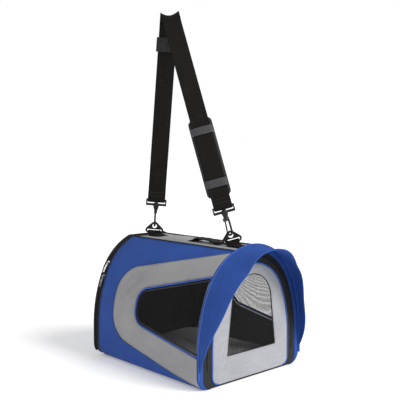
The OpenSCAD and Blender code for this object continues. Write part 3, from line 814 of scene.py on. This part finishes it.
def build_side(side, tag):
    panel = side_cloth("side_panel_" + tag, sideways_u(GAP, **BAND), panel_frame(), 26, side,
                       0.0016, panel_pulls, 3 + side, BLUE, THREAD_BLUE)
    panel.finish("bag", "blue_fabric")
    band = side_cloth("side_band_" + tag, sideways_u(GAP, **WINDOW), sideways_u(0, **BAND), 24,
                      side, 0.002, band_folds, 9 + side, GREY, THREAD_GREY)
    band.finish("bag", "grey_fabric")

    path = wall_frame(sideways_u(-PIPING_R, **WINDOW), -0.0004, side)
    tube("window_piping_" + tag, CORD_PAINTED_HIGHLIGHT, circle(PIPING_R), *path, "bag", "blue_piping")

    mesh = Piece("side_window_" + tag, NET)
    net(mesh, sideways_u(-2 * PIPING_R - GAP, **WINDOW),
        lambda u, v, lift: wall_points(u, v, NET_DEPTH - lift, side), 0.007)
    hem = sideways_u(-2 * PIPING_R - 0.0022, **WINDOW)
    path, out = wall_frame(hem, NET_DEPTH - 0.0004, side)
    mesh.sweep(webbing_outline(0.0036, 0.0009, 4), path, np.cross(tangents(path), out))
    mesh.finish("bag", "mesh")


# -------- top and base
BINDING_W, BINDING_T = 0.0064, 0.0016
BASE_BINDING_TURN = math.radians(62)


def grid_over(left, right, columns, front, rear, rows):
    """x and y on an even flat grid."""
    return np.meshgrid(np.linspace(left, right, columns), np.linspace(front, rear, rows),
                       indexing="ij")


def lengthwise(x, z, steps):
    """A straight path along the bag's tunnel."""
    return polyline([(x, TUNNEL_Y, z), (x, REAR_Y, z)], [steps])


def build_top():
    half = high("top_panel")[0]
    x, y = grid_over(-half, half, 25, TUNNEL_Y, REAR_Y, 61)
    seam = half - np.abs(x)
    crown = 0.0055 * bell(y, 0.067, 0.033) * (1 - (x / half) ** 2)
    ripple = 0.0005 * bumps(np.stack([x * 2, y], -1), 0.03, 5) * smooth(0, 0.02, seam)
    z = TOP_H - 0.0008 + pillow(seam, 0.0008) + crown + ripple * np.clip(crown / 0.002, 0, 1)
    panel = Piece("top_panel", GREY, LINING)
    face = np.stack([x, y, z], -1)
    panel.slab(face, face * (1, 1, 0) + (0, 0, TOP_H - WALL), face[..., :2], lining=1)
    panel.finish("bag", "grey_fabric")

    for side, tag in SIDES:
        x, _, z = centre("top_binding_" + tag)
        path = lengthwise(x, z, 40)
        tilt = np.array([math.cos(0.2), 0, -side * math.sin(0.2)])
        binding = Piece("top_binding_" + tag, WEBBING, THREAD_BLACK)
        binding.sweep(webbing_outline(BINDING_W, BINDING_T, 6), path, tilt)
        for shift in (-0.0018, 0.0018):
            stitches(binding, path + tilt * shift + (0, 0, BINDING_T / 2), (0, 0, 1), 1)
        binding.finish("bag", "black_webbing")


def build_base():
    cos, sin = math.cos(BASE_BINDING_TURN), math.sin(BASE_BINDING_TURN)
    for side, tag in SIDES:
        path = lengthwise(side * (HALF_W - CORNER_R + CORNER_R * cos), CORNER_R * (1 - sin), 60)
        tube("base_binding_" + tag, BLACK, oval(0.0024, 0.001, 10), path, (side * sin, 0, cos),
             "bag", "base_fabric")
    (left, front, _), (right, rear, _) = low("base_panel"), high("base_panel")
    x, y = grid_over(left, right, 33, front, rear, 45)
    seam = np.minimum(right - np.abs(x), np.minimum(y - front, rear - y))
    roll = pillow(seam, 0.0009, 0.002)
    base = Piece("base_panel", BLACK, LINING)
    top = np.stack([x, y, WALL - 0.001 + roll], -1)
    base.slab(np.stack([x, y, 0.0009 - roll], -1), top, top[..., :2], lining=1)
    base.finish("bag", "base_fabric")


# -------- front face
def face_cloth(name, outer, inner, rows, y, out, rise, materials, wrap=False, seed=0,
               profile=None, filled=False):
    """A flat panel in a plane across the bag, padded towards out (-1 front, 1 rear)."""
    grid, seam = strip(inner[:, :2], outer[:, :2], rows)
    if filled:
        seam = np.linalg.norm(grid - outer[None, :, :2], axis=-1)
    height = pillow(seam, rise, 0.004)
    if seed:
        height += 0.0009 * bumps(grid, 0.045, seed) * smooth(0, 0.03, seam)
    if profile:
        height += profile(grid, seam)
    x, z = grid[..., 0], grid[..., 1]
    face = np.stack([x, y + out * (height - SEAM_DIP), z], -1)
    back = np.stack([x, np.full_like(x, y - out * DOOR_T), z], -1)
    piece = Piece(name, *materials)
    piece.slab(face, back, grid, wrap, int(len(materials) > 1), filled)
    return piece


def zip_coil(name, points, normals, across):
    """Interlocked coil teeth along a path, standing on normals and reaching across."""
    coil = Piece(name, COIL)
    rows = resample(np.concatenate([points, normals, across], 1), 0.0013)
    outline = oval(0.0005, 0.00045, 5)
    for k, row in enumerate(rows):
        middle, up, reach = row[:3], unit(row[3:6]), unit(row[6:9])
        side = 1 if k % 2 else -1
        line = np.array([middle - side * reach * 0.0006 + up * 0.0005,
                         middle + side * reach * 0.0007 + up * 0.0009,
                         middle + side * reach * 0.0021 + up * 0.0001])
        coil.sweep(outline, line, np.cross(up, reach))
    coil.finish("bag", "zip_tape")


def build_front_face():
    border = face_cloth("front_border", arch_path(0, CORNER_R), arch_path(BORDER_W, 0.02), 9,
                        FRONT_Y, -1, 0.0016, (BLUE, LINING), seed=21)
    border.finish("bag", "blue_fabric")

    def ridge(grid, seam):
        return 0.0005 * bell(seam, TAPE_W / 2, 0.0022) - 0.0003 * (seam < 0.001)

    tape = face_cloth("front_zip_tape", arch_path(BORDER_W + GAP, 0.0198, GAP),
                      arch_path(DOOR_IN - GAP, DOOR_CORNER + GAP, DOOR_FOOT), 13,
                      FRONT_Y, -1, 0.0004, (TAPE, LINING), profile=ridge)
    tape.finish("bag", "zip_tape")

    points, normals = at_y(arch_path(COIL_IN, start=LEAN_H / 2), FRONT_Y - 0.0003)
    zip_coil("front_zip_coil", points, 0 * normals + (0, -1, 0), normals)

    points, normals = at_y(arch_path(0.0004, start=CORNER_R * 0.8), centre("front_seam_piping")[1])
    tube("front_seam_piping", CORD_PAINTED_HIGHLIGHT, circle(0.0018, 12), points, normals, "bag", "blue_piping")


# -------- hood
# How far the hood stands forward at its feet
HOOD_LEAST = 0.001


def between(rows, at):
    """One point of each column of a grid, at a row number with a fraction."""
    base = np.clip(np.floor(at).astype(int), 0, len(rows) - 2)
    share = (at - base)[:, None]
    columns = np.arange(len(at))
    return rows[base, columns] * (1 - share) + rows[base + 1, columns] * share


def build_hood():
    (_, hem_y, bottom), seam_y = low("hood"), high("hood")[1]
    seam = resample(arch_path(0, start=bottom), 0.0065, 2)
    x, z = seam[:, 0], seam[:, 1]
    normal = unit(seam[:, 2:])
    stand = np.clip((z - bottom) / (ARCH_H - bottom), 0, 1) ** 0.8
    reach = HOOD_LEAST + (seam_y - hem_y - HOOD_LEAST) * stand
    inward = 0.019 * smooth(bottom + 0.02, 0.165, z) * (1 - 0.9 * smooth(0.235, ARCH_H, z))
    far = np.linspace(0, 1, 19)[:, None]
    belly = np.sin(math.pi * far) * stand
    crest = smooth(0.225, 0.268, z)
    bulge = (0.0035 - 0.0075 * crest) * belly - (inward + 0.0015 * crest) * far
    bulge = bulge - 0.0012 * (1 - smooth(bottom, bottom + 0.025, z))
    cloth = woven(travelled(seam[:, :2]), far * reach)
    bulge = bulge + 0.0008 * bumps(cloth, 0.07, 31) * belly
    hem_in = np.clip((far - 1) * reach / 0.008 + 1, 0, 1)
    hem = 0.0006 * smooth(0, 0.25, hem_in) * (1 - smooth(0.85, 1.0, hem_in) * 0.8)
    thick = 0.0008 + 0.0014 * smooth(bottom, bottom + 0.035, z)

    def layer(depth):
        off = bulge - depth
        y = np.broadcast_to(seam_y - reach * far, off.shape)
        return np.stack([x + normal[:, 0] * off, y, z + normal[:, 1] * off], -1)

    hood = Piece("hood", BLUE, THREAD_BLUE)
    hood.slab(layer(-hem), layer(thick + hem), cloth)
    keep = reach > 0.012
    at = np.clip(1 - 0.0075 / reach, 0, 1) * (len(far) - 1)
    for depth, sign in ((-0.0001, 1), (thick + 0.0001, -1)):
        path = between(layer(depth), at)
        stitches(hood, path[keep], sign * upright(normal, 0)[keep], 1)
    hood.finish("bag", "blue_fabric")


# -------- doors
WINDOW_HALF = high("front_door_mesh")[0] + GAP
WINDOW_LOW = low("front_door_mesh")[2] - GAP
WINDOW_HIGH = high("front_door_mesh")[2] + GAP
WINDOW_R = 0.058
REAR_CORNER = CORNER_R - 0.006


def door_window(inset):
    """Outline of a door's window: a flat sill, leaning sides and a round head."""
    radius = WINDOW_R - inset
    head = arc(0, WINDOW_HIGH - inset - radius, radius, math.radians(12), math.radians(168), 28)
    half = WINDOW_HALF - inset
    sill = polyline([(-half, WINDOW_LOW + inset), (half, WINDOW_LOW + inset)], [12])
    return np.concatenate([sill, head[:, :2]])


def rays(outline, middle, angles):
    """Points where rays from the middle meet a closed outline."""
    direction = np.stack([np.cos(angles), np.sin(angles)], 1)[:, None]
    edge, away = (np.roll(outline, -1, 0) - outline)[None], (outline - middle)[None]

    def cross(a, b):
        return a[..., 0] * b[..., 1] - a[..., 1] * b[..., 0]

    over = cross(direction, edge)
    over = np.where(np.abs(over) < 1e-12, 1e-12, over)
    reach, share = cross(away, edge) / over, cross(away, direction) / over
    met = (reach > 0) & (share > -1e-6) & (share < 1 + 1e-6)
    return middle + direction[:, 0] * np.where(met, reach, np.inf).min(1)[:, None]


def ring_between(outer, inner):
    """Two closed outlines with matching points, seen from the inner one's middle."""
    middle = (inner.min(0) + inner.max(0)) / 2
    turn = np.linspace(0, 6.2, 60)
    evenly = np.stack([np.cos(turn), np.sin(turn)], 1)
    away = np.concatenate([outer - middle, inner - middle, evenly])
    angles = np.unique(np.round(np.arctan2(away[:, 1], away[:, 0]), 3))
    return rays(outer, middle, angles), rays(inner, middle, angles)


def door_creases(grid, seam):
    """Shallow dents that slant down from the lower left of the window."""
    x, z = grid[..., 0], grid[..., 1]
    near = bell(x, -0.075, 0.022) * bell(z, 0.062, 0.035)
    return 0.0011 * np.sin((x - 0.55 * z) / 0.019 * 2 * math.pi) * near * smooth(0, 0.012, seam)


def build_front_door():
    outline = arch_path(DOOR_IN + 2 * PIPING_R, DOOR_CORNER - 2 * PIPING_R, DOOR_FOOT)[:, :2]
    panel = face_cloth("front_door_panel", *ring_between(outline, door_window(0)), 17, FRONT_Y,
                       -1, 0.0022, (DOOR_GREY_PAINTED_LIGHT, LINING, THREAD_GREY), True, 40, door_creases)
    points = upright(door_window(-0.0035), FRONT_Y - 0.0008)
    stitches(panel, np.concatenate([points, points[:1]]), (0, -1, 0), 2)
    panel.finish("front_door", "door_fabric")

    mesh = Piece("front_door_net", NET)
    net(mesh, door_window(GAP),
        lambda u, v, lift: upright(np.stack([u, v], 1), FRONT_Y + DOOR_T / 2 - lift), 0.03)
    path = upright(door_window(0.0004), FRONT_Y + 0.0002)
    mesh.sweep(oval(0.001, 0.0011, 8), path, (0, 1, 0), closed=True)
    mesh.finish("front_door", "mesh", "front_door_mesh")

    path = arch_path(DOOR_IN + PIPING_R, DOOR_CORNER - PIPING_R, DOOR_FOOT + PIPING_R)
    tube("front_door_piping", CORD_PAINTED_HIGHLIGHT, circle(PIPING_R), *at_y(path, FRONT_Y), "front_door",
         "blue_piping")


def build_rear_door():
    face = high("rear_door_panel")[1]

    def outline(inset):
        return arch_path(REAR_IN + inset, REAR_CORNER - inset, DOOR_FOOT + inset,
                         top=TOP_H - REAR_IN - inset)[:, :2]

    edge = outline(REAR_BINDING)
    middle = (edge.min(0) + edge.max(0)) / 2
    panel = face_cloth("rear_door_panel", edge, middle + (edge - middle) * 0.01, 40, face, 1,
                       0.003, (BLUE, LINING, THREAD_BLUE), wrap=True, seed=42, filled=True)
    for inset in (0.003, 0.0055):
        hem = resample(outline(REAR_BINDING + inset), 0.004)
        stitches(panel, upright(hem, face + 0.0016), (0, 1, 0), 2)
    panel.finish("rear_door", "blue_fabric")

    rings = ring_between(outline(0), outline(REAR_BINDING + GAP))
    binding = face_cloth("rear_door_binding", *rings, 7, face, 1, 0.001, (BLACK,), wrap=True)
    binding.finish("rear_door", "black_webbing")


# -------- rear gusset
def build_gusset():
    y0, y1 = low("rear_gusset")[1], high("rear_gusset")[1]
    path = arch_path(0, CORNER_R, top=TOP_H)
    half = len(path) // 2
    flat_top = polyline(path[half - 1:half + 1], [10])[1:-1]
    flat_top[:, 2:] = (0, 1)
    path = np.concatenate([path[:half], flat_top, path[half:]])
    outward = unit(path[:, 2:])
    rows = np.linspace(0, 1, 11)[:, None]
    swell = 0.0009 * smooth(0.7, 1, rows) - SEAM_DIP

    def layer(depth):
        x = path[:, 0] + outward[:, 0] * (swell - depth)
        z = path[:, 1] + outward[:, 1] * (swell - depth)
        return np.stack([x, np.broadcast_to(y0 + (y1 - y0) * rows, x.shape), z], -1)

    gusset = Piece("rear_gusset", TAPE, LINING)
    cloth = woven(travelled(path[:, :2]), (y1 - y0) * rows)
    gusset.slab(layer(0), layer(0.0024), cloth, lining=1)
    gusset.finish("bag", "zip_tape")

    points, normals = at_y(path[path[:, 1] > 0.0085], y1 + 0.0004)
    tube("rear_edge_roll", BLACK, circle(0.0027, 12), points + normals * 0.0014, normals, "bag",
         "zip_tape")

    middle = JOINTS["rear_slider_upper_travel"]["pos_m"][1]
    points, normals = at_y(path[path[:, 1] > LEAN_H / 2], middle)
    zip_coil("rear_zip_coil", points - normals * 0.0004, normals, 0 * normals + (0, 1, 0))


# -------- filled pads
PUFF_FRAMES = 20


def filled(name, size, voxel, cap, material, lean):
    """A cushion of a size about the origin, puffed by cloth pressure, and its points."""
    shell = bmesh.new()
    bmesh.ops.create_cube(shell, size=1.0)
    bmesh.ops.subdivide_edges(shell, edges=shell.edges, cuts=7, use_grid_fill=True)
    for vertex in shell.verts:
        x, y, _ = np.array(vertex.co) * 2
        tuck = 1 - 0.1 * (x**2 * y**2) - lean * (x**8 + y**8) / 2
        vertex.co = Vector(np.array(vertex.co) * size * (1, 1, tuck))
    mesh = bpy.data.meshes.new(name)
    shell.to_mesh(mesh)
    shell.free()
    pad = in_scene(name, mesh)
    even = pad.modifiers.new("even", "REMESH")
    even.mode = "VOXEL"
    even.voxel_size = voxel
    bake_modifiers(pad)
    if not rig.quick():
        puff(pad, cap)
    finer = pad.modifiers.new("finer", "SUBSURF")
    finer.levels = finer.render_levels = 1
    bake_modifiers(pad)
    pad.data.materials.append(material)
    pad.data.polygons.foreach_set("use_smooth", [True] * len(pad.data.polygons))
    points = coordinates(pad.data)
    set_cloth(pad.data, points[:, :2])
    return pad, points


def bake_modifiers(piece):
    view = bpy.context.evaluated_depsgraph_get()
    view.update()
    mesh = bpy.data.meshes.new_from_object(piece.evaluated_get(view))
    piece.modifiers.clear()
    piece.data = mesh


def coordinates(mesh):
    flat = np.zeros(len(mesh.vertices) * 3, np.float32)
    mesh.vertices.foreach_get("co", flat)
    return flat.reshape(-1, 3).astype(float)


def reshape(mesh, points):
    mesh.vertices.foreach_set("co", np.asarray(points, np.float32).ravel())
    mesh.update()


def puff(pad, cap):
    """Blows a closed mesh up with cloth pressure; no point moves more than cap."""
    rest = coordinates(pad.data)
    cloth = pad.modifiers.new("puff", "CLOTH")
    settings = dict(quality=5, mass=0.3, tension_stiffness=15, compression_stiffness=15,
                    shear_stiffness=5, bending_stiffness=0.5, use_pressure=True,
                    uniform_pressure_force=4.0)
    for key, value in settings.items():
        setattr(cloth.settings, key, value)
    cloth.settings.effector_weights.gravity = 0
    scene = bpy.context.scene
    for number in range(1, PUFF_FRAMES + 1):
        scene.frame_set(number)
    view = bpy.context.evaluated_depsgraph_get()
    moved = coordinates(pad.evaluated_get(view).data) - rest
    pad.modifiers.remove(cloth)
    scene.frame_set(1)
    far = np.linalg.norm(moved, axis=1, keepdims=True)
    reshape(pad.data, rest + moved * np.minimum(1, cap / np.maximum(far, 1e-9)))


def build_floor_pad():
    size = high("floor_pad") - low("floor_pad")
    pad, points = filled("floor_pad", size - (0.01, 0.01, 0.004), 0.006, 0.006, FLEECE, 0.5)
    limit = size / 2 - 0.0004
    points = np.clip(points, -limit, limit)
    up = np.sign(points[:, 2]) * smooth(0.001, 0.004, np.abs(points[:, 2]))
    channel = np.minimum(np.abs(points[:, 0]), np.abs(np.abs(points[:, 1]) - size[1] / 6))
    points[:, 2] -= up * 0.003 * bell(channel, 0, 0.004)
    reshape(pad.data, points + centre("floor_pad"))
    finish(pad, "bag", "pad_fabric")


# -------- strap
STRAP_TURN = math.radians(42.6)
STRAP_PEAK_H = 0.765
WEB_W = 0.04
WEB_T = 0.002
AWAY = np.array([math.sin(STRAP_TURN), math.cos(STRAP_TURN), 0.0])


class Run:
    """One straight run of the strap, from its ring plate's pivot to the peak."""

    def __init__(self, end):
        self.pivot = np.array(JOINTS[end + "_clip_swing"]["pos_m"])
        self.along = unit(JOINTS[end + "_swivel"]["axis"])
        self.across = unit(np.cross(AWAY, self.along))
        self.out = np.cross(self.along, self.across)
        self.length = (STRAP_PEAK_H - self.pivot[2]) / self.along[2]

    def at(self, across, out, along):
        """Places by their distances across, out of and along the run."""
        parts = np.broadcast_arrays(across, out, along)
        across, out, along = (np.asarray(part, float)[..., None] for part in parts)
        return self.pivot + across * self.across + out * self.out + along * self.along


RUNS = {end: Run(end) for end in ENDS}

# Distances up the runs: the swivel frame's bar, where the twisting end joins the strap, and
# from the peak where the strap starts to bend; the webbing's reach round the bar
FRAME_BAR = 0.076
RUN_JOIN = {"front": 0.0995, "rear": 0.11}
STRAP_BEND = 0.018
BAR_REACH = 0.0037

# The shoulder pad: width, length and thickness, its ends up the run, its distance out of
# the webbing, and its cross loops' height and distance from its ends
PAD_SIZE = np.array([0.052, 0.176, 0.009])
PAD_FROM, PAD_TO = 0.1, 0.276
PAD_OUT = 0.0014
LOOP_H = 0.017
LOOP_INSET = 0.02


def strand_out(along):
    """How far the webbing's main strand lies behind the run's line above the bar."""
    return -BAR_REACH * (1 - smooth(0.006, 0.021, along))


def build_strap_end(end, run):
    """Webbing from its free end, down round the swivel frame's bar and up the run."""
    join = RUN_JOIN[end]
    turn = np.linspace(0, math.pi, 13)
    up = np.linspace(0.0055, join - FRAME_BAR, 10)
    out = [0.003, 0.0034, BAR_REACH, *(BAR_REACH * np.cos(turn)), *strand_out(up)]
    along = [0.021, 0.013, 0.0055, *(-0.0012 - BAR_REACH * np.sin(turn)), *up]
    piece = Piece("strap_lower_" + end, WEBBING, THREAD_BLACK)
    path = run.at(0, out, np.array(along) + FRAME_BAR)
    piece.sweep(webbing_outline(WEB_W, WEB_T), path, run.across)
    for row in (0.0095, 0.0175):
        line = run.at(np.linspace(-0.017, 0.017, 18), strand_out(row) - WEB_T / 2, row + FRAME_BAR)
        stitches(piece, line, -run.out, 1)
    ends = piece.finish(None, "black_webbing", "strap_end_" + end)
    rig.blend(ends, "strap", end + "_frame", start=run.at(0, 0, join),
             end=run.at(0, 0, FRAME_BAR + 0.006))


def build_strap():
    front, rear = RUNS["front"], RUNS["rear"]
    up = np.linspace(RUN_JOIN["front"], front.length - STRAP_BEND, 40)
    down = np.linspace(rear.length - STRAP_BEND, RUN_JOIN["rear"], 40)
    a, d = front.at(0, 0, up[-1]), rear.at(0, 0, down[0])
    b, c = a + front.along * 0.0145, d + rear.along * 0.0145
    t = np.linspace(0, 1, 16)[1:-1, None]
    over = a * (1 - t) ** 3 + 3 * b * t * (1 - t) ** 2 + 3 * c * t**2 * (1 - t) + d * t**3
    path = np.concatenate([front.at(0, 0, up), over, rear.at(0, 0, down)])
    share = smooth(len(up) - 1, len(up) + len(over), np.arange(len(path)))[:, None]
    across = unit(front.across * (1 - share) + rear.across * share)
    rings = rings_along(webbing_outline(WEB_W, WEB_T, 12), path, across)
    length = travelled(path)
    top = bell(length, length[len(up) + 7], 0.02)
    off = ((rings - path[:, None]) * across[:, None]).sum(-1) / (WEB_W / 2)
    rings[..., 2] += top[:, None] * (0.0068 * off**2 - 0.0026)
    strap = Piece("strap_webbing", WEBBING)
    strap.skin(rings)
    strap.finish("strap", "black_webbing")


def build_shoulder_pad():
    run = RUNS["front"]

    def at(x, y, out):
        """A place on the pad, from its middle and its underside."""
        return run.at(x, PAD_OUT + out, y + (PAD_FROM + PAD_TO) / 2)

    pad, points = filled("shoulder_pad", PAD_SIZE - 0.004, 0.003, 0.005, PAD_CLOTH, 0.2)
    limit = PAD_SIZE / 2 - (0.001, 0.001, 0)
    points = np.clip(points, -limit + (0, 0, 0.0006), limit)
    reshape(pad.data, at(points[:, 0], points[:, 1], points[:, 2] + PAD_SIZE[2] / 2))
    finish(pad, "pad", "shoulder_pad_fabric")

    corner = 0.005
    a, b = PAD_SIZE[:2] / 2 - 0.004
    rows = []
    for quarter, (x, y) in enumerate([(1, 1), (-1, 1), (-1, -1), (1, -1)]):
        start = quarter * math.pi / 2
        rows.append(arc(x * (a - corner), y * (b - corner), corner, start, start + math.pi / 2, 6))
    outline = resample(np.concatenate(rows + [rows[0][:1]])[:, :2], 0.004)[:-1]
    binding = Piece("shoulder_pad_binding", PAD_BINDING, THREAD_BLACK)
    binding.sweep(oval(0.0042, 0.004, 16), at(*outline.T, PAD_SIZE[2] / 2), run.out, closed=True)
    inset = outline * (1 - 0.0016 / a, 1 - 0.0016 / b)
    stitches(binding, at(*inset.T, 0.0006), -run.out, 1)
    binding.finish("pad", "shoulder_pad_fabric")

    loops = Piece("pad_loops", LOOP, THREAD_PALE)
    half = WEB_W / 2
    right = np.array([(0, -0.0026), (half / 2, -0.0024), (half - 0.0006, -0.0021),
                      (half + 0.0014, -0.0008), (half + 0.0026, 0.0014), (half + 0.004, 0.002)])
    rows = np.concatenate([(right * (-1, 1))[:0:-1], right])
    last = PAD_TO - LOOP_INSET - LOOP_H
    for start in (PAD_FROM + LOOP_INSET, last):
        path = run.at(rows[:, 0], rows[:, 1], start + LOOP_H / 2)
        loops.sweep(webbing_outline(LOOP_H, 0.0013, 6), path, run.along)
    for x in (-half - 0.0018, half + 0.0018):
        line = run.at(x, -0.0004, last + np.linspace(0.001, 0.005, 4))
        stitches(loops, line, -run.out, 1, length=0.0015, gap=0.0006, width=0.0006)
    loops.finish("pad", "grey_webbing")


# -------- tabs and handle
TAB_W, TAB_T = 0.03, 0.0014
HANDLE_W, HANDLE_T = 0.026, 0.0016


def ribbon_through(rows, steps):
    """A smooth path through a few points, rounding its bends."""
    path = np.asarray(rows, float)
    for _ in range(3):
        cut = np.stack([0.75 * path[:-1] + 0.25 * path[1:], 0.25 * path[:-1] + 0.75 * path[1:]], 1)
        path = np.concatenate([path[:1], cut.reshape(-1, path.shape[1]), path[-1:]])
    return resample(path, steps)


def cross_row(piece, half, steps, y, z):
    """A row of stitches across a flat webbing, half its length to each side."""
    stitches(piece, polyline([(-half, y, z), (half, y, z)], [steps]), (0, 0, 1), 1)


def build_tab(end, run):
    """Webbing sewn to the top panel, with a loop through the ring plate's slot."""
    node = end + "_tab"
    _, start, lay = low(node)
    lay += 0.0008
    turn = run.pivot[1] - 0.008

    rows = [(0, start, lay), (0, (start + turn) / 2, lay), (0, turn - 0.004, lay)]
    rows += [run.at(0, out, along) for out, along in (
        (0.0006, -0.0052), (0.0036, -0.003), (0.0034, 0.0034), (0.0, 0.0042),
        (-0.0034, 0.0034), (-0.0038, -0.0012))]
    rows += [(0, y, lay + 0.0018) for y in (turn - 0.003, (start + turn) / 2, start + 0.01)]
    path = ribbon_through(rows, 0.0022)
    lift = smooth(lay + 0.002, run.pivot[2], path[:, 2])[:, None]
    tab = Piece(node, WEBBING, THREAD_BLACK)
    tab.sweep(webbing_outline(TAB_W, TAB_T), path, (1 - lift) * (1, 0, 0) + run.across * lift)
    for y in (start + 0.013, turn - 0.009):
        cross_row(tab, 0.012, 12, y, lay + 0.0026)
    tab = tab.finish(None, "black_webbing")
    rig.blend(tab, "bag", end + "_clip", start=(0, run.pivot[1], lay + 0.0025),
             end=(0, run.pivot[1], run.pivot[2] - 0.0015))


def build_handle():
    middle = centre("handle_grip")
    lay = low("handle_ends")[2] + 0.0009
    for end, tag, side in ((-1, "front", low), (1, "rear", high)):
        outer, inner = side("handle_ends")[1], side("handle_grip")[1]
        rows = [(0, outer, lay), (0, outer - end * 0.01, lay),
                (0, outer - end * 0.014, lay + 0.0006), (0, inner + end * 0.001, lay + 0.003),
                (0, inner - end * 0.004, middle[2]), (0, inner - end * 0.016, middle[2])]
        strap = Piece("handle_end_" + tag, WEBBING, THREAD_BLACK)
        strap.sweep(webbing_outline(HANDLE_W, HANDLE_T), ribbon_through(rows, 0.002), (1, 0, 0))
        for inset in (0.002, 0.009):
            cross_row(strap, 0.011, 10, outer - end * inset, lay + HANDLE_T / 2)
        strap = strap.finish(None, "black_webbing", *(["handle_ends"] if end > 0 else []))
        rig.blend(strap, "bag", "handle", start=(0, outer - end * 0.01, lay),
                 end=(0, inner - end * 0.006, lay))

    size = high("handle_grip") - low("handle_grip")
    grip, points = filled("handle_grip", size - (0.004, 0.002, 0.0015), 0.0025, 0.003, BLACK, 0.3)
    points = np.clip(points, -size / 2, size / 2 + (0, 0, 0.002))
    points[:, 2] += 0.0042 * np.cos(points[:, 1] / size[1] * math.pi) ** 2
    points[:, 2] += 0.003 * bell(points[:, 1], size[1] * 0.33, 0.009)
    reshape(grip.data, points + middle)
    finish(grip, "handle", "handle_fabric")


# -------- CAD nodes that stay
def dress(node, material, edge=0.0):
    """A CAD node keeps its shape: it gets a material and softly rounded edges."""
    ob = frame["nodes"][node]
    ob.data.materials.clear()
    ob.data.materials.append(material)
    weld = ob.modifiers.new("weld", "WELD")
    weld.merge_threshold = 0.00001
    if edge:
        bevel = ob.modifiers.new("edges", "BEVEL")
        bevel.width = edge
        bevel.segments = 2
        bevel.limit_method = "ANGLE"
        bevel.angle_limit = math.radians(SHARP_DEG)
        bevel.harden_normals = True


def dress_hardware():
    for end in ENDS:
        dress(end + "_ring", PLASTIC, 0.0005)
        dress(end + "_hook", PLASTIC)
        dress(end + "_gate", PLASTIC, 0.0003)
        dress(end + "_swivel_frame", PLASTIC, 0.0007)
        dress(end + "_gate_pin", PIN)
        dress(end + "_hoop", STEEL, 0.0004)
        for level in ("upper", "lower"):
            dress(f"{end}_slider_{level}", NICKEL, 0.0004)
            dress(f"{end}_pull_{level}", NICKEL, 0.0003)
    dress("strap_adjuster", PLASTIC, 0.001)
    dress("floor_board", BOARD, 0.0006)


# -------- stage, light and camera
STAGE_HALF = 30.0
CAMERA_AT = (-1.02, -1.117, 0.456)
CAMERA_PITCH = math.radians(-4.0)


def aim(ob, toward):
    """Turns a lamp or camera to look along a direction."""
    ob.rotation_mode = "QUATERNION"
    ob.rotation_quaternion = Vector(toward).to_track_quat("-Z", "Y")


def build_stage():
    n = Nodes("pale_floor")
    n.set(Base_Color=n.mix(n.noise(n.where, 3.0), (0.93, 0.93, 0.93, 1), (0.96, 0.96, 0.96, 1)))
    n.set(Roughness=0.9, Emission_Color=(1, 1, 1, 1), Emission_Strength=0.26)
    mesh = bpy.data.meshes.new("floor")
    corners = [(x * STAGE_HALF, y * STAGE_HALF, 0) for x, y in ((-1, -1), (1, -1), (1, 1), (-1, 1))]
    mesh.from_pydata(corners, [], [(0, 1, 2, 3)])
    mesh.materials.append(n.material)
    floor = in_scene("floor", mesh)
    floor.location.z = -0.0004
    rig.stage(floor)


def build_light():
    """An even white world, whiter behind the bag than it lights it, a key and a rim sun."""
    world = bpy.data.worlds.new("studio")
    bpy.context.scene.world = world
    world.use_nodes = True
    tree = world.node_tree
    tree.nodes.clear()
    output = tree.nodes.new("ShaderNodeOutputWorld")
    mix = tree.nodes.new("ShaderNodeMixShader")
    path = tree.nodes.new("ShaderNodeLightPath")
    tree.links.new(path.outputs["Is Camera Ray"], mix.inputs[0])
    for socket, strength in ((1, 0.4), (2, 1.0)):
        background = tree.nodes.new("ShaderNodeBackground")
        background.inputs["Color"].default_value = (1, 1, 1, 1)
        background.inputs["Strength"].default_value = strength
        tree.links.new(background.outputs[0], mix.inputs[socket])
    tree.links.new(mix.outputs[0], output.inputs[0])

    for name, energy, spread, toward in (("key", 2.65, 30, (-0.3, 0.72, -0.62)),
                                         ("rim", 0.62, 20, (0.33, -0.75, -0.5))):
        light = bpy.data.lights.new(name, "SUN")
        light.energy = energy
        light.angle = math.radians(spread)
        aim(in_scene(name, light), toward)
    bpy.context.scene.view_settings.view_transform = "Standard"


def build_camera():
    camera = bpy.data.cameras.new("camera")
    camera.lens = 63.0
    camera.sensor_width = 36.0
    ob = in_scene("camera", camera)
    ob.location = CAMERA_AT
    aim(ob, (*(AWAY[:2] * math.cos(CAMERA_PITCH)), math.sin(CAMERA_PITCH)))
    bpy.context.scene.camera = ob


# -------- build
for side, tag in SIDES:
    build_side(side, tag)
for build in (build_top, build_base, build_front_face, build_hood, build_front_door,
              build_rear_door, build_gusset, build_floor_pad):
    build()
for end, run in RUNS.items():
    build_strap_end(end, run)
build_strap()
build_shoulder_pad()
for end, run in RUNS.items():
    build_tab(end, run)
for build in (build_handle, dress_hardware, build_stage, build_light, build_camera):
    build()

look_low, look_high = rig.bounds()
with open("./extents.json", "w") as file:
    json.dump({"cad": [list(CAD_LOW), list(CAD_HIGH)],
               "visual": [list(look_low), list(look_high)]}, file)
